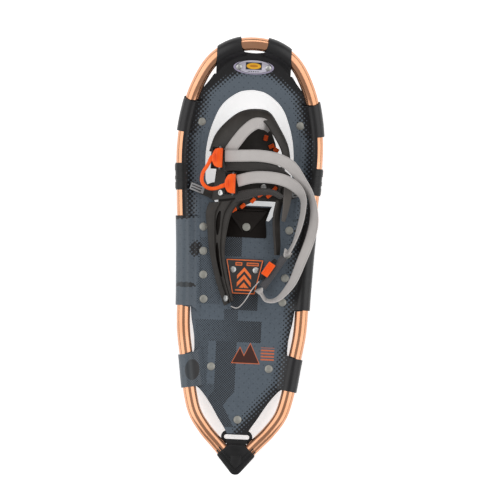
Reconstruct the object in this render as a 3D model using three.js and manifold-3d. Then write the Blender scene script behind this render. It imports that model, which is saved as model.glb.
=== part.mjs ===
// Recreational snowshoe, left foot: bent tube frame, riveted deck and a pivoting binding.
// Millimetres. +Z up, +Y towards the toe, +X to the wearer's right.
// z = 0 is the tips of the crampon teeth, and x = y = 0 is the middle of the shoe's outline.
import * as THREE from 'three';
import { mergeVertices } from 'three/addons/utils/BufferGeometryUtils.js';
import Module from 'manifold-3d';

const wasm = await Module();
wasm.setup();

// ---- driving dimensions ----
const GAP = 0.3; // clearance between touching pieces
const DECK_Z = 29; // height of the tube's centre and of the deck's middle
const TUBE_R = 9.5;
const TUBE_BORE_R = 8.2;
const NOSE_Y = 303.3; // tube centre at the nose
const RISE_Y = 130; // the nose starts to turn up here
const NOSE_RISE = 46;
const ARM_ANGLE = THREE.MathUtils.degToRad(43); // each tail arm's angle to the shoe's length
const ARM_END = new THREE.Vector2(14, -283.2); // tube centre at its cut end, right side

const DECK_T = 1.8;
const WRAP_BORE_R = TUBE_R + 0.8;
const WRAP_R = WRAP_BORE_R + 1.2;
const RIVET_R = 5;
const SHANK_R = 2.5;

const PIVOT_Y = 92;
const PIVOT_Z = DECK_Z + 4;
const STRAP_T = 3; // rubber suspension strap
const STRAP_W = 24;
const CORE_HALF = 51.5; // the strap's clamped middle ends here
const FOOTBED_Z = PIVOT_Z + STRAP_T / 2 + GAP;
const FOOTBED_T = 3;
const CRAMPON_Z = PIVOT_Z - STRAP_T / 2 - GAP - 2.5;

const WEB_W = 19; // woven webbing
const WEB_T = 1.6;

// ---- finishes ----
const COPPER = { color: 0xc98a55, roughness: 0.3, metalness: 0.9 };
const DECK_BLUE = { color: 0x4b5563, roughness: 0.5, metalness: 0 };
const RUBBER = { color: 0x2f2c2a, roughness: 0.6, metalness: 0 };
const PLASTIC = { color: 0x17171a, roughness: 0.45, metalness: 0 };
const ORANGE = { color: 0xf06018, roughness: 0.4, metalness: 0 };
const WEBBING = { color: 0xa9a09c, roughness: 0.85, metalness: 0 };
const STEEL = { color: 0x8f9294, roughness: 0.35, metalness: 1 };
const GRIP = { color: 0x3d3a3b, roughness: 0.8, metalness: 0 };

// ---- helpers ----
const group = new THREE.Group();

function piece(name, geometry, finish, parent = group) {
  const mesh = new THREE.Mesh(geometry, new THREE.MeshStandardMaterial(finish));
  mesh.name = name;
  parent.add(mesh);
  return mesh;
}

function solid(geometry) {
  const bare = geometry.clone();
  for (const name of Object.keys(bare.attributes)) {
    if (name !== 'position') bare.deleteAttribute(name);
  }
  const merged = mergeVertices(bare, 1e-4);
  return new wasm.Manifold(new wasm.Mesh({
    numProp: 3,
    vertProperties: new Float32Array(merged.attributes.position.array),
    triVerts: new Uint32Array(merged.index.array),
  }));
}

function geometryOf(manifold) {
  const mesh = manifold.getMesh();
  const geometry = new THREE.BufferGeometry();
  geometry.setAttribute('position', new THREE.BufferAttribute(mesh.vertProperties, 3));
  geometry.setIndex(new THREE.BufferAttribute(mesh.triVerts, 1));
  return geometry;
}

function cut(body, ...tools) {
  return tools.reduce((rest, tool) => rest.subtract(tool), body);
}

function joined(bodies) {
  return bodies.reduce((sum, body) => sum.add(body));
}

function outline(points) {
  return new THREE.Shape(points.map(([x, y]) => new THREE.Vector2(x, y)));
}

function plate(shape, bottom, thickness) {
  const geometry = new THREE.ExtrudeGeometry(shape, { depth: thickness, bevelEnabled: false, curveSegments: 6 });
  return geometry.translate(0, 0, bottom);
}

function mirrored(points) {
  return [...points, ...points.map(([x, y]) => [-x, y]).reverse()];
}

function post(x, y, bottom, top, radius, sides = 12) {
  const geometry = new THREE.CylinderGeometry(radius, radius, top - bottom, sides);
  return geometry.rotateX(Math.PI / 2).translate(x, y, (top + bottom) / 2);
}

// A strip of constant thickness between two edge curves, each a list of [x, y, z].
function strip(edgeA, edgeB, thickness, steps, across = 1) {
  const curveA = new THREE.CatmullRomCurve3(edgeA.map((p) => new THREE.Vector3(...p)), false, 'centripetal');
  const curveB = new THREE.CatmullRomCurve3(edgeB.map((p) => new THREE.Vector3(...p)), false, 'centripetal');
  const geometry = new THREE.BoxGeometry(1, 1, 1, steps, across, 1);
  const place = geometry.attributes.position;
  for (let i = 0; i < place.count; i += 1) {
    const t = place.getX(i) + 0.5;
    const a = curveA.getPoint(t);
    const b = curveB.getPoint(t);
    const along = curveA.getTangent(t).add(curveB.getTangent(t));
    const normal = along.cross(b.clone().sub(a)).normalize();
    const point = a.lerp(b, place.getY(i) + 0.5).addScaledVector(normal, place.getZ(i) * thickness);
    place.setXYZ(i, point.x, point.y, point.z);
  }
  return geometry;
}

// Webbing along a centre line of [x, y, z, lean]: lean 0 lies flat, lean 90 stands on its edge.
function webbing(points, steps, width = WEB_W, thickness = WEB_T) {
  const line = new THREE.CatmullRomCurve3(points.map(([x, y, z]) => new THREE.Vector3(x, y, z)), false, 'centripetal');
  const edges = [[], []];
  points.forEach(([x, y, z, lean], i) => {
    const ahead = line.getTangent(i / (points.length - 1));
    const side = new THREE.Vector3(-ahead.y, ahead.x, 0).normalize();
    const angle = THREE.MathUtils.degToRad(lean);
    const reach = side.multiplyScalar(Math.cos(angle)).add(new THREE.Vector3(0, 0, Math.sin(angle)));
    [-1, 1].forEach((sign, k) => {
      const edge = new THREE.Vector3(x, y, z).addScaledVector(reach, (sign * width) / 2);
      edges[k].push(edge.toArray());
    });
  });
  return strip(edges[0], edges[1], thickness, steps);
}

// ---- the frame's path ----
function rise(y) {
  return y > RISE_Y ? NOSE_RISE * ((y - RISE_Y) / (NOSE_Y - RISE_Y)) ** 2 : 0;
}

function slope(y) {
  return y > RISE_Y ? Math.atan((2 * NOSE_RISE * (y - RISE_Y)) / (NOSE_Y - RISE_Y) ** 2) : 0;
}

const RIGHT_SIDE = [
  [ARM_END.x, ARM_END.y], [30, -266.1], [45, -250], [60.7, -226.9], [68.9, -200], [76.5, -150],
  [83, -108], [85, -50], [88, 20], [92.5, 90], [95.3, 150], [91.5, 195], [80, 240], [58, 279], [30, 298],
];
const FRAME_POINTS = [...RIGHT_SIDE, [0, NOSE_Y], ...RIGHT_SIDE.map(([x, y]) => [-x, y]).reverse()];
const framePath = new THREE.CatmullRomCurve3(
  FRAME_POINTS.map(([x, y]) => new THREE.Vector3(x, y, DECK_Z + rise(y))),
  false,
  'centripetal',
);

// The path's parameter on the right side where it passes a given y.
function pathAt(y) {
  let low = 0;
  let high = 0.5;
  for (let i = 0; i < 40; i += 1) {
    const middle = (low + high) / 2;
    if (framePath.getPointAt(middle).y < y) low = middle;
    else high = middle;
  }
  return low;
}

function pathFrame(t) {
  const point = framePath.getPointAt(t);
  const ahead = framePath.getTangentAt(t);
  const inward = new THREE.Vector3(-ahead.y, ahead.x, ahead.x * Math.tan(slope(point.y))).normalize();
  const up = ahead.clone().cross(inward);
  return { point, inward, up };
}

// Bends a straight extrusion (x inward, y up, z from 0 to 1) along part of the frame.
function alongFrame(shape, start, end, steps) {
  const geometry = new THREE.ExtrudeGeometry(shape, { depth: 1, steps, bevelEnabled: false, curveSegments: 5 });
  const place = geometry.attributes.position;
  for (let i = 0; i < place.count; i += 1) {
    const { point, inward, up } = pathFrame(start + (end - start) * place.getZ(i));
    point.addScaledVector(inward, place.getX(i)).addScaledVector(up, place.getY(i));
    place.setXYZ(i, point.x, point.y, point.z);
  }
  return geometry;
}

// Calls make(start, end, side) for the same stretch of both rails.
function bothRails(lowY, highY, make) {
  const start = pathAt(lowY);
  const end = pathAt(highY);
  return [make(start, end, 'right'), make(1 - end, 1 - start, 'left')];
}

function ring(outer, inner, sides) {
  const shape = new THREE.Shape();
  const hole = new THREE.Path();
  for (let i = 0; i < sides; i += 1) {
    const angle = (i / sides) * 2 * Math.PI;
    const step = i ? 'lineTo' : 'moveTo';
    shape[step](outer * Math.cos(angle), outer * Math.sin(angle));
    hole[step](inner * Math.cos(angle), inner * Math.sin(angle));
  }
  shape.holes.push(hole);
  return shape;
}

// ---- frame and deck ----
function frameTube() {
  const section = ring(TUBE_R, TUBE_BORE_R, 10);
  piece('frame_tube', alongFrame(section, 0, 1, 84), COPPER);
}

const FLAP = { reach: 23, half: DECK_T / 2 - 0.05, tangentFrom: 16 };

// The deck's tab wraps right round the tube and closes on itself.
function wrapSection() {
  const angle = Math.acos(WRAP_R / FLAP.tangentFrom);
  const shape = new THREE.Shape();
  shape.moveTo(FLAP.tangentFrom, -FLAP.half);
  shape.lineTo(FLAP.reach, -FLAP.half);
  shape.lineTo(FLAP.reach, FLAP.half);
  shape.lineTo(FLAP.tangentFrom, FLAP.half);
  shape.absarc(0, 0, WRAP_R, angle, 2 * Math.PI - angle, false);
  const hole = new THREE.Path();
  hole.absarc(0, 0, WRAP_BORE_R, 0, 2 * Math.PI, true);
  shape.holes.push(hole);
  return shape;
}

// Between tabs the deck's edge only lies on the top of the tube.
function lipSection() {
  const shape = new THREE.Shape();
  shape.moveTo(FLAP.tangentFrom, -FLAP.half);
  shape.lineTo(FLAP.reach, -FLAP.half);
  shape.lineTo(FLAP.reach, FLAP.half);
  shape.lineTo(FLAP.tangentFrom, FLAP.half);
  shape.absarc(0, 0, WRAP_R, Math.acos(WRAP_R / FLAP.tangentFrom), Math.PI / 2, false);
  shape.absarc(0, 0, WRAP_BORE_R, Math.PI / 2, Math.acos(WRAP_BORE_R / FLAP.tangentFrom), true);
  return shape;
}

const TABS = [[-190, -142], [-73, 54], [176, 222], [282.5, 301]]; // y range of each pair of tabs
const LIP = [54, 176];

// The deck's edge: the tongue at the tail, then [y, distance in from the tube's centre].
const TAIL_EDGE = [[13, -247.2], [18.5, -243], [28, -233], [38.5, -215], [50, -199], [57, -191]];
const SIDE_EDGE = [
  [-190, 18], [-142, 18], [-133, 12.5], [-120, 14.5], [-102, 13.2], [-85, 10.8], [-74, 10.8], [-72, 18],
  [-10, 18], [54, 18], [115, 18], [176, 18], [200, 18], [222, 18], [224, 12.5], [240, 12.5], [255, 12.5],
  [268, 12.5], [281, 12.5], [283, 18], [292, 18], [300.5, 18], [302.5, 17],
];
const OPENING = [
  [0, 238], [16, 235.5], [27.7, 229], [38.5, 220], [46.5, 209], [52.5, 195], [58, 178], [61.5, 160],
  [63, 141.7], [61.5, 108], [57, 96], [34.5, 55], [31, 51.5], [27, 53.5], [27.5, 57], [35.5, 73],
];

function railPoint([y, inset]) {
  const { point, inward } = pathFrame(pathAt(y));
  point.addScaledVector(inward, inset);
  return [point.x, point.y];
}

function deck() {
  const shape = outline(mirrored([...TAIL_EDGE, ...SIDE_EDGE.map(railPoint)]));
  shape.holes.push(outline(mirrored(OPENING)));
  const stations = [-270, RISE_Y];
  for (let y = RISE_Y + 14; y < NOSE_Y + 10; y += 14) stations.push(y);
  const top = stations.map((y) => [y, DECK_Z + rise(y) + DECK_T / 2]);
  const bottom = stations.map((y) => [y, DECK_Z + rise(y) - DECK_T / 2]).reverse();
  const side = new THREE.ExtrudeGeometry(outline([...top, ...bottom]), { depth: 240, bevelEnabled: false });
  const place = side.attributes.position;
  for (let i = 0; i < place.count; i += 1) {
    place.setXYZ(i, place.getZ(i) - 120, place.getX(i), place.getY(i));
  }
  const sheet = solid(side).intersect(solid(plate(shape, 0, 120)));
  const wraps = TABS.flatMap(([low, high]) => bothRails(low, high, (start, end) => {
    const steps = Math.max(3, Math.round((high - low) / 15));
    return solid(alongFrame(wrapSection(), start, end, steps));
  }));
  const lips = bothRails(LIP[0] - 1, LIP[1] + 1, (start, end) => solid(alongFrame(lipSection(), start, end, 9)));
  const holes = DECK_RIVETS.map(([, x, y]) => onDeck(post(0, 0, -9, 9, SHANK_R + GAP, 10), x, y));
  piece('deck', geometryOf(cut(joined([sheet, ...wraps, ...lips]), ...holes.map(solid))), DECK_BLUE);
}

// Stands a geometry made round the origin on the middle of the deck at x, y.
function onDeck(geometry, x, y) {
  return geometry.rotateX(slope(y)).translate(x, y, DECK_Z + rise(y));
}

// name, x, y, and how far the clamped layers reach above and below the deck's middle.
const BARE = DECK_T / 2;
const NECK_T = 2.5;
const BADGE_T = 1.6;
const PLAQUE_T = 2;
const APRON_T = 1;
const TONGUE_T = 1.6;
const stack = (...layers) => BARE + layers.reduce((sum, layer) => sum + GAP + layer, 0);
const pair = (name, x, y, ...reach) => [[`${name}_right`, x, y, ...reach], [`${name}_left`, -x, y, ...reach]];
const DECK_RIVETS = [
  ...pair('rivet_nose', 21, 271, stack(BADGE_T), BARE),
  ...pair('rivet_front', 70.5, 190.2, BARE, BARE),
  ...pair('rivet_middle_1', 61.5, 40, BARE, BARE),
  ...pair('rivet_middle_2', 60, 5.4, BARE, BARE),
  ...pair('rivet_middle_3', 58.5, -28.5, BARE, BARE),
  ...pair('rivet_middle_4', 56.5, -63.2, BARE, BARE),
  ...pair('rivet_rear', 41.3, -159.2, BARE, BARE),
  ...pair('rivet_heel', 16.3, -19.2, stack(PLAQUE_T), stack(PLAQUE_T)),
  ['rivet_tongue', 0, 42.3, stack(APRON_T, TONGUE_T), BARE],
  ['rivet_tail', 0, -233.7, BARE, stack(NECK_T)],
];

function rivetGeometry(above, below, sides = 10) {
  const top = above + GAP;
  const bottom = -below - GAP;
  const profile = [
    [0, bottom - 1.4], [4, bottom - 1.4], [4, bottom], [SHANK_R, bottom], [SHANK_R, top],
    [RIVET_R, top], [RIVET_R - 0.3, top + 1], [3, top + 2], [0, top + 2.3],
  ];
  const points = profile.map(([r, z]) => new THREE.Vector2(r, z));
  return new THREE.LatheGeometry(points, sides).rotateX(Math.PI / 2);
}

function deckRivets() {
  for (const [name, x, y, above, below] of DECK_RIVETS) {
    piece(name, onDeck(rivetGeometry(above, below), x, y), STEEL);
  }
}

// ---- things fixed to the frame and deck ----
function noseBadge() {
  const shape = new THREE.Shape();
  shape.absellipse(0, 0, 29, 11.2, 0, 2 * Math.PI);
  const holes = [-21, 21].map((x) => solid(post(x, 0, -2, 6, SHANK_R + GAP, 10)));
  const badge = cut(solid(plate(shape, BARE + GAP, BADGE_T)), ...holes);
  piece('nose_badge', onDeck(geometryOf(badge), 0, 271), PLASTIC);
}

const HEEL_PLATE = [[27, -4.8], [16, -54]];

function heelPlate() {
  const holes = [-16.3, 16.3].map((x) => solid(post(x, -19.2, 0, 60, SHANK_R + GAP, 10)));
  const bottom = DECK_Z + BARE + GAP;
  const plaque = cut(solid(plate(outline(mirrored(HEEL_PLATE)), bottom, PLAQUE_T)), ...holes);
  piece('heel_plaque', geometryOf(plaque), PLASTIC);
  const under = DECK_Z - BARE - GAP - PLAQUE_T;
  const base = solid(plate(outline(mirrored([[26, -6], [26, -52]])), under, PLAQUE_T));
  const teeth = [[-6, under + 1], [-6, 16], [-12, 0], [-19, 15], [-39, 15], [-46, 0], [-52, 16], [-52, under + 1]];
  const blades = [-26, 24].map((x) => solid(sideProfile(teeth, x, PLAQUE_T)));
  piece('heel_crampon', geometryOf(cut(joined([base, ...blades]), ...holes)), STEEL);
}

// An outline in y, z, extruded across from x by the thickness.
function sideProfile(points, x, thickness) {
  const geometry = new THREE.ExtrudeGeometry(outline(points), { depth: thickness, bevelEnabled: false });
  const place = geometry.attributes.position;
  for (let i = 0; i < place.count; i += 1) {
    place.setXYZ(i, x + place.getZ(i), place.getX(i), place.getY(i));
  }
  return geometry;
}

// The cap closes both cut ends of the tube and carries the tail ring with its neck under the deck.
const CAP_HALF = 11;
const RING = { y: -258.5, width: 45, height: 21.5, slotWidth: 36, slotHeight: 6.3, neck: 30.7 };

function tailCap() {
  const arm = new THREE.Vector2(Math.sin(ARM_ANGLE), Math.cos(ARM_ANGLE));
  const across = new THREE.Vector2(arm.y, -arm.x);
  const end = ARM_END.clone().addScaledVector(arm, 8.5);
  const outer = end.clone().addScaledVector(across, CAP_HALF);
  const inner = end.clone().addScaledVector(across, -CAP_HALF);
  const block = new THREE.ExtrudeGeometry(
    outline(mirrored([[3, -312.8], [6, -311], [outer.x, outer.y], [inner.x, inner.y]])),
    { depth: 2 * CAP_HALF - 3, bevelThickness: 1.5, bevelSize: 1.2, bevelOffset: -1.2, bevelSegments: 1 },
  ).translate(0, 0, DECK_Z - CAP_HALF + 1.5);
  const bores = [1, -1].map((side) => {
    const bore = new THREE.CylinderGeometry(TUBE_R + GAP, TUBE_R + GAP, 60, 16);
    bore.translate(0, 30 - GAP, 0).rotateZ(-side * ARM_ANGLE).translate(side * ARM_END.x, ARM_END.y, DECK_Z);
    return solid(bore);
  });
  const bottom = DECK_Z - BARE - GAP - NECK_T;
  const ringShape = new THREE.Shape();
  const half = RING.height / 2;
  const straight = RING.width / 2 - half;
  ringShape.absarc(straight, RING.y, half, -Math.PI / 2, Math.PI / 2, false);
  ringShape.absarc(-straight, RING.y, half, Math.PI / 2, 1.5 * Math.PI, false);
  const slot = new THREE.Path();
  const slotR = RING.slotHeight / 2;
  slot.absarc(RING.slotWidth / 2 - slotR, RING.y, slotR, -Math.PI / 2, Math.PI / 2, false);
  slot.absarc(slotR - RING.slotWidth / 2, RING.y, slotR, Math.PI / 2, 1.5 * Math.PI, false);
  ringShape.holes.push(slot);
  const loop = solid(plate(ringShape, bottom, NECK_T + 1));
  const bridge = solid(plate(outline(mirrored([[11, -266], [11, -272]])), bottom, NECK_T + 1));
  const neck = solid(plate(outline(mirrored([[RING.neck / 2, -250], [RING.neck / 2, -228]])), bottom, NECK_T));
  const hole = solid(post(0, -233.7, 0, 60, SHANK_R + GAP, 10));
  const whole = joined([solid(block), loop, bridge, neck]);
  piece('tail_cap', geometryOf(cut(whole, ...bores, hole)), PLASTIC);
}

// Each sleeve clasps the tube and the deck's lip, and holds one end of the rubber strap.
function railSleeves() {
  const inner = WRAP_R + GAP;
  const shape = new THREE.Shape();
  const open = THREE.MathUtils.degToRad(70);
  shape.absarc(0, 0, inner + 2, open, 2 * Math.PI - open, false);
  shape.absarc(0, 0, inner, 2 * Math.PI - open, open, true);
  bothRails(91, 130, (start, end, side) => {
    piece(`rail_sleeve_${side}`, alongFrame(shape, start, end, 3), RUBBER);
  });
}

function suspension() {
  for (const [side, sign] of [['right', 1], ['left', -1]]) {
    const line = [
      [CORE_HALF + GAP, PIVOT_Y, PIVOT_Z, 0], [58, PIVOT_Y, PIVOT_Z, 0], [69, 95, PIVOT_Z + 1.5, 0],
      [75, 97.5, PIVOT_Z + 6, 0], [80, 100, PIVOT_Z + 9.5, 0],
    ].map(([x, y, z, lean]) => [sign * x, y, z, lean]);
    piece(`suspension_strap_${side}`, webbing(line, 10, STRAP_W, STRAP_T), RUBBER);
  }
  const shape = outline(mirrored([[29, 27], [27, 50], [34, 71]]));
  const hole = () => solid(post(0, 42.3, 0, 60, SHANK_R + GAP, 10));
  const bottom = DECK_Z + BARE + GAP;
  piece('deck_apron', geometryOf(cut(solid(plate(shape, bottom, APRON_T)), hole())), RUBBER);
  const arms = outline(mirrored([[5, 34], [9, 40], [30, 66], [20, 68]]).concat([[-0.01, 50]]));
  const tongue = cut(solid(plate(arms, bottom + APRON_T + GAP, TONGUE_T)), hole());
  piece('suspension_tongue', geometryOf(tongue), RUBBER);
}

// ---- the binding, which turns on the rubber strap ----
const binding = new THREE.Group();
group.add(binding);
const BOLTS = [[22, 100], [-22, 100]];
const boltHoles = () => BOLTS.map(([x, y]) => solid(post(x, y, 0, 60, 2.3, 10)));
const FOOTBED_TOP = FOOTBED_Z + FOOTBED_T;

function footbed() {
  const edge = [
    [-40, 58], [-28, 60], [-8, 70], [10, 80], [28, 90], [42, 99], [43, 110], [41, 140], [36, 164], [28, 184],
    [12, 194], [-6, 194], [-26, 182], [-38, 164], [-43, 140], [-43, 90],
  ];
  const plateBody = cut(solid(plate(outline(edge), FOOTBED_Z, FOOTBED_T)), ...boltHoles());
  piece('footbed', geometryOf(plateBody), PLASTIC, binding);
  const core = new THREE.BoxGeometry(2 * CORE_HALF, STRAP_W, STRAP_T).translate(0, PIVOT_Y, PIVOT_Z);
  piece('suspension_core', geometryOf(cut(solid(core), ...boltHoles())), RUBBER, binding);
  const rear = [[-27, 61.5], [-8, 71.5], [10, 81.5], [28, 91.5], [40, 99.5], [37, 103.5], [26, 96], [-10, 76], [-29, 66]];
  piece('grip_rear', plate(outline(rear), FOOTBED_TOP + GAP, 2), ORANGE, binding);
  const front = [[8, 160], [22, 155], [26, 160], [20, 166], [18, 181], [11, 181]];
  piece('grip_front', plate(outline(front), FOOTBED_TOP + GAP, 2), ORANGE, binding);
  BOLTS.forEach(([x, y], i) => {
    const profile = [
      [0, CRAMPON_Z - 2.5], [4, CRAMPON_Z - 2.5], [4, CRAMPON_Z - GAP], [2, CRAMPON_Z - GAP],
      [2, FOOTBED_TOP + GAP], [4.5, FOOTBED_TOP + GAP], [4, FOOTBED_TOP + 2], [0, FOOTBED_TOP + 2.3],
    ].map(([r, z]) => new THREE.Vector2(r, z));
    const bolt = new THREE.LatheGeometry(profile, 10).rotateX(Math.PI / 2).translate(x, y, 0);
    piece(`binding_bolt_${i + 1}`, bolt, STEEL, binding);
  });
}

const CRAMPON_T = 2.5;

function toeCrampon() {
  const base = solid(plate(outline(mirrored([[33, 84], [33, 150]])), CRAMPON_Z, CRAMPON_T));
  const teeth = [
    [84, CRAMPON_Z + 1], [84, 15], [89, 0], [97, 16], [110, 16], [117, 0], [124, 16], [134, 16], [143, 0],
    [150, 14], [150, CRAMPON_Z + 1],
  ];
  const blades = [-33, 33 - CRAMPON_T].map((x) => solid(sideProfile(teeth, x, CRAMPON_T)));
  const frontTeeth = mirrored([[33, CRAMPON_Z + 1], [30, 16], [22, 2], [14, 17]]);
  const front = new THREE.ExtrudeGeometry(outline(frontTeeth), { depth: CRAMPON_T, bevelEnabled: false });
  front.rotateX(Math.PI / 2).translate(0, 150, 0);
  const whole = joined([base, ...blades, solid(front)]);
  piece('toe_crampon', geometryOf(cut(whole, ...boltHoles())), STEEL, binding);
}

// The moulded harness round the boot: toe piece, side wings and heel arms.
function harness() {
  const toeOuter = [
    [-57, 148, 41], [-49, 172, 49], [-32, 193, 57], [-14, 206, 62], [6, 210, 65], [24, 207, 62],
    [39, 187, 54], [53, 161, 46], [58, 138, 41],
  ];
  const toeInner = [
    [-36, 146, 64], [-31, 160, 70], [-20, 176, 75], [-6, 188, 79], [8, 195, 81], [19, 193, 79],
    [31, 178, 70], [45, 155, 60], [50, 136, 53],
  ];
  piece('toe_piece', strip(toeInner, toeOuter, 2.4, 20, 2), RUBBER, binding);
  const leftLow = [[-44, 136, 40], [-46, 115, 40], [-48, 95, 41], [-50, 78, 40]];
  const leftHigh = [[-36, 139, 57], [-30, 118, 62], [-20, 100, 62], [-12, 84, 60]];
  piece('wing_left', strip(leftHigh, leftLow, 3, 10, 2), RUBBER, binding);
  const rightLow = [[50, 130, 42], [49, 112, 42], [48, 96, 42], [45, 84, 41]];
  const rightHigh = [[46, 131, 58], [45, 114, 62], [44, 98, 62], [42, 87, 58]];
  piece('wing_right', strip(rightHigh, rightLow, 3, 10, 1), RUBBER, binding);
  const leftInner = [[-11, 81, 60], [-23, 62, 56], [-29, 35, 52], [-31, 5, 48], [-26, -27, 47], [-15, -64, 46]];
  const leftOuter = [[-53, 75, 40], [-57, 60, 39], [-54, 38, 38], [-50, 8, 37], [-39, -34, 36], [-25, -71, 36]];
  piece('heel_arm_left', strip(leftInner, leftOuter, 3, 16, 2), RUBBER, binding);
  const rightInner = [[42, 82, 54], [38.5, 60, 52], [39.5, 38, 50], [42, 18, 48], [43, 4, 46]];
  const rightOuter = [[49, 81, 39], [46, 60, 38], [47, 38, 37], [48.5, 18, 36], [48, 4, 35.5]];
  piece('heel_arm_right', strip(rightInner, rightOuter, 3, 10, 1), RUBBER, binding);
  piece('toe_webbing', webbing([
    [-28, 150, 73, -15], [-18, 165, 81, -18], [-5, 181, 87, -20], [9, 190, 90, -5], [25, 182, 86, 20],
  ], 10), WEBBING, binding);
}

// Two webbing straps cross the instep, each over its own pad, and share one pull handle.
function forefootStraps() {
  piece('strap_front', webbing([
    [-35, 143, 76, 0], [-14, 144, 86, 0], [17, 145, 92, 0], [42, 141, 89, 0], [60, 132, 80, 8],
    [76, 110, 67, 40], [90, 93, 58, 70], [97, 73, 54, 80], [98, 52, 52, 75], [93, 30, 52, 60],
    [81, -3, 52, 50], [66, -38, 51, 55], [46, -60, 48, 70], [33, -61, 47, 75], [25, -51, 46, 75],
  ], 44), WEBBING, binding);
  piece('strap_rear', webbing([
    [-16, 107, 76, 0], [6, 113, 84, 0], [31, 114, 85, 0], [52, 110, 78, 5], [68, 99, 65, 30],
    [76, 87, 57, 60], [76, 70, 52, 72], [72, 46, 49, 72], [65, 20, 47, 80], [60, 7, 46, 75],
  ], 28), WEBBING, binding);
  piece('pad_front', strip(
    [[-33, 134, 70], [-8, 136, 80], [16, 136, 86], [40, 131, 82], [60, 118, 68]],
    [[-36, 121, 66], [-12, 122, 75], [14, 121, 79], [38, 116, 73], [55, 104, 60]], 2.4, 12), RUBBER, binding);
  piece('pad_rear', strip(
    [[-14, 92, 70], [4, 96, 76], [22, 98, 78], [38, 96, 74], [52, 88, 62]],
    [[-20, 76, 62], [0, 82, 67], [18, 88, 70], [34, 89, 68], [47, 84, 58]], 2.4, 12), RUBBER, binding);
  const end = { x: 27, y: -43, z: 44 };
  const start = { x: 56, y: 1.5, z: 44 };
  const length = Math.hypot(start.x - end.x, start.y - end.y);
  const handle = new THREE.BoxGeometry(length, 5, 14, 6, 1, 1);
  handle.rotateZ(Math.atan2(start.y - end.y, start.x - end.x));
  handle.translate((start.x + end.x) / 2, (start.y + end.y) / 2, end.z);
  piece('pull_handle', handle, GRIP, binding);
}

// Cam buckles: a base on the strap's end, a lever turning on a pin along y, and one loop joining both.
const BUCKLES = [
  { name: 'front', x: -42, y: 139, z: 80, base: 67.5 },
  { name: 'rear', x: -22, y: 103, z: 80, base: 67.5 },
];
const LEVER = { reach: 14, length: 28, thickness: 5, pinR: 1.6 };

function camBuckle({ name, x, y, z, base }) {
  const pin = post(0, 0, -16.5, 16.5, LEVER.pinR, 10).rotateX(Math.PI / 2).translate(x, y, z);
  piece(`buckle_pin_${name}`, pin, STEEL, binding);
  const bore = () => solid(post(0, 0, -40, 40, LEVER.pinR + GAP, 12).rotateX(Math.PI / 2).translate(x, y, z));
  const side = outline([[-13, 0], [5, 0], [5, 2], [4, z - base + 3], [-4, z - base + 3], [-6, 4], [-13, 3]]);
  const cheeks = [-16, 14.5].map((at) => {
    const cheek = new THREE.ExtrudeGeometry(side, { depth: 1.5, bevelEnabled: false });
    return solid(cheek.rotateX(Math.PI / 2).translate(x, y + at + 1.5, base));
  });
  const floor = solid(new THREE.BoxGeometry(18, 32, 2.4).translate(x - 4, y, base + 1.2));
  piece(`buckle_base_${name}`, geometryOf(cut(joined([floor, ...cheeks]), bore())), PLASTIC, binding);
  const leaf = new THREE.Shape();
  leaf.absarc(0, 0, 4, -Math.PI / 2, Math.PI / 2, false);
  leaf.lineTo(-LEVER.reach, LEVER.thickness / 2);
  leaf.lineTo(-LEVER.reach, -LEVER.thickness / 2);
  const lever = new THREE.ExtrudeGeometry(leaf, { depth: LEVER.length, bevelEnabled: false, curveSegments: 4 });
  lever.rotateX(Math.PI / 2).translate(x, y + LEVER.length / 2, z);
  piece(`buckle_lever_${name}`, geometryOf(cut(solid(lever), bore())), ORANGE, binding);
}

// The loop hangs from the levers' free edges and moves with both.
function releaseLoop() {
  const [front, rear] = BUCKLES;
  const out = LEVER.reach + 3.5;
  piece('release_loop', webbing([
    [front.x - out, front.y + 8, front.z, 90], [front.x - out - 3, front.y - 6, front.z, 90],
    [-67, 116, 79, 90], [-64, 101, 79, 90], [-55, 95, 79, 90], [rear.x - out, rear.y - 5, rear.z, 90],
  ], 18, 4.5, 3), ORANGE, binding);
}

// The heel webbing runs from the left arm's end through a slide buckle to the right arm.
function heelStrap() {
  piece('heel_webbing', webbing([
    [-17, -72, 43, 90], [-8, -74, 43, 90], [1.5, -65, 43, 90], [13, -45.5, 43, 90], [22, -34.5, 43, 90],
  ], 10, 13, 1.4), WEBBING, binding);
  const yaw = Math.atan2(45, 29);
  const at = new THREE.Vector3(34, -17, 42);
  const body = new THREE.BoxGeometry(36, 5, 12).rotateZ(yaw).translate(at.x, at.y, at.z);
  piece('heel_buckle_body', body, PLASTIC, binding);
  const lever = new THREE.BoxGeometry(21, 11, 3.2).translate(0, 0, 8.5);
  lever.rotateZ(yaw).translate(at.x, at.y, at.z);
  piece('heel_buckle_lever', lever, ORANGE, binding);
}

footbed();
toeCrampon();
harness();
forefootStraps();
BUCKLES.forEach(camBuckle);
releaseLoop();
heelStrap();
frameTube();
deck();
deckRivets();
noseBadge();
heelPlate();
tailCap();
railSleeves();
suspension();

export default group;
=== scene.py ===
"""A left-foot snowshoe: bent tube frame, printed deck, strap binding.

Shapes are worked out in millimetres and made in metres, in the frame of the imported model.
"""

import math

import bmesh
import bpy
import numpy as np
from mathutils import Matrix, Vector


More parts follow.
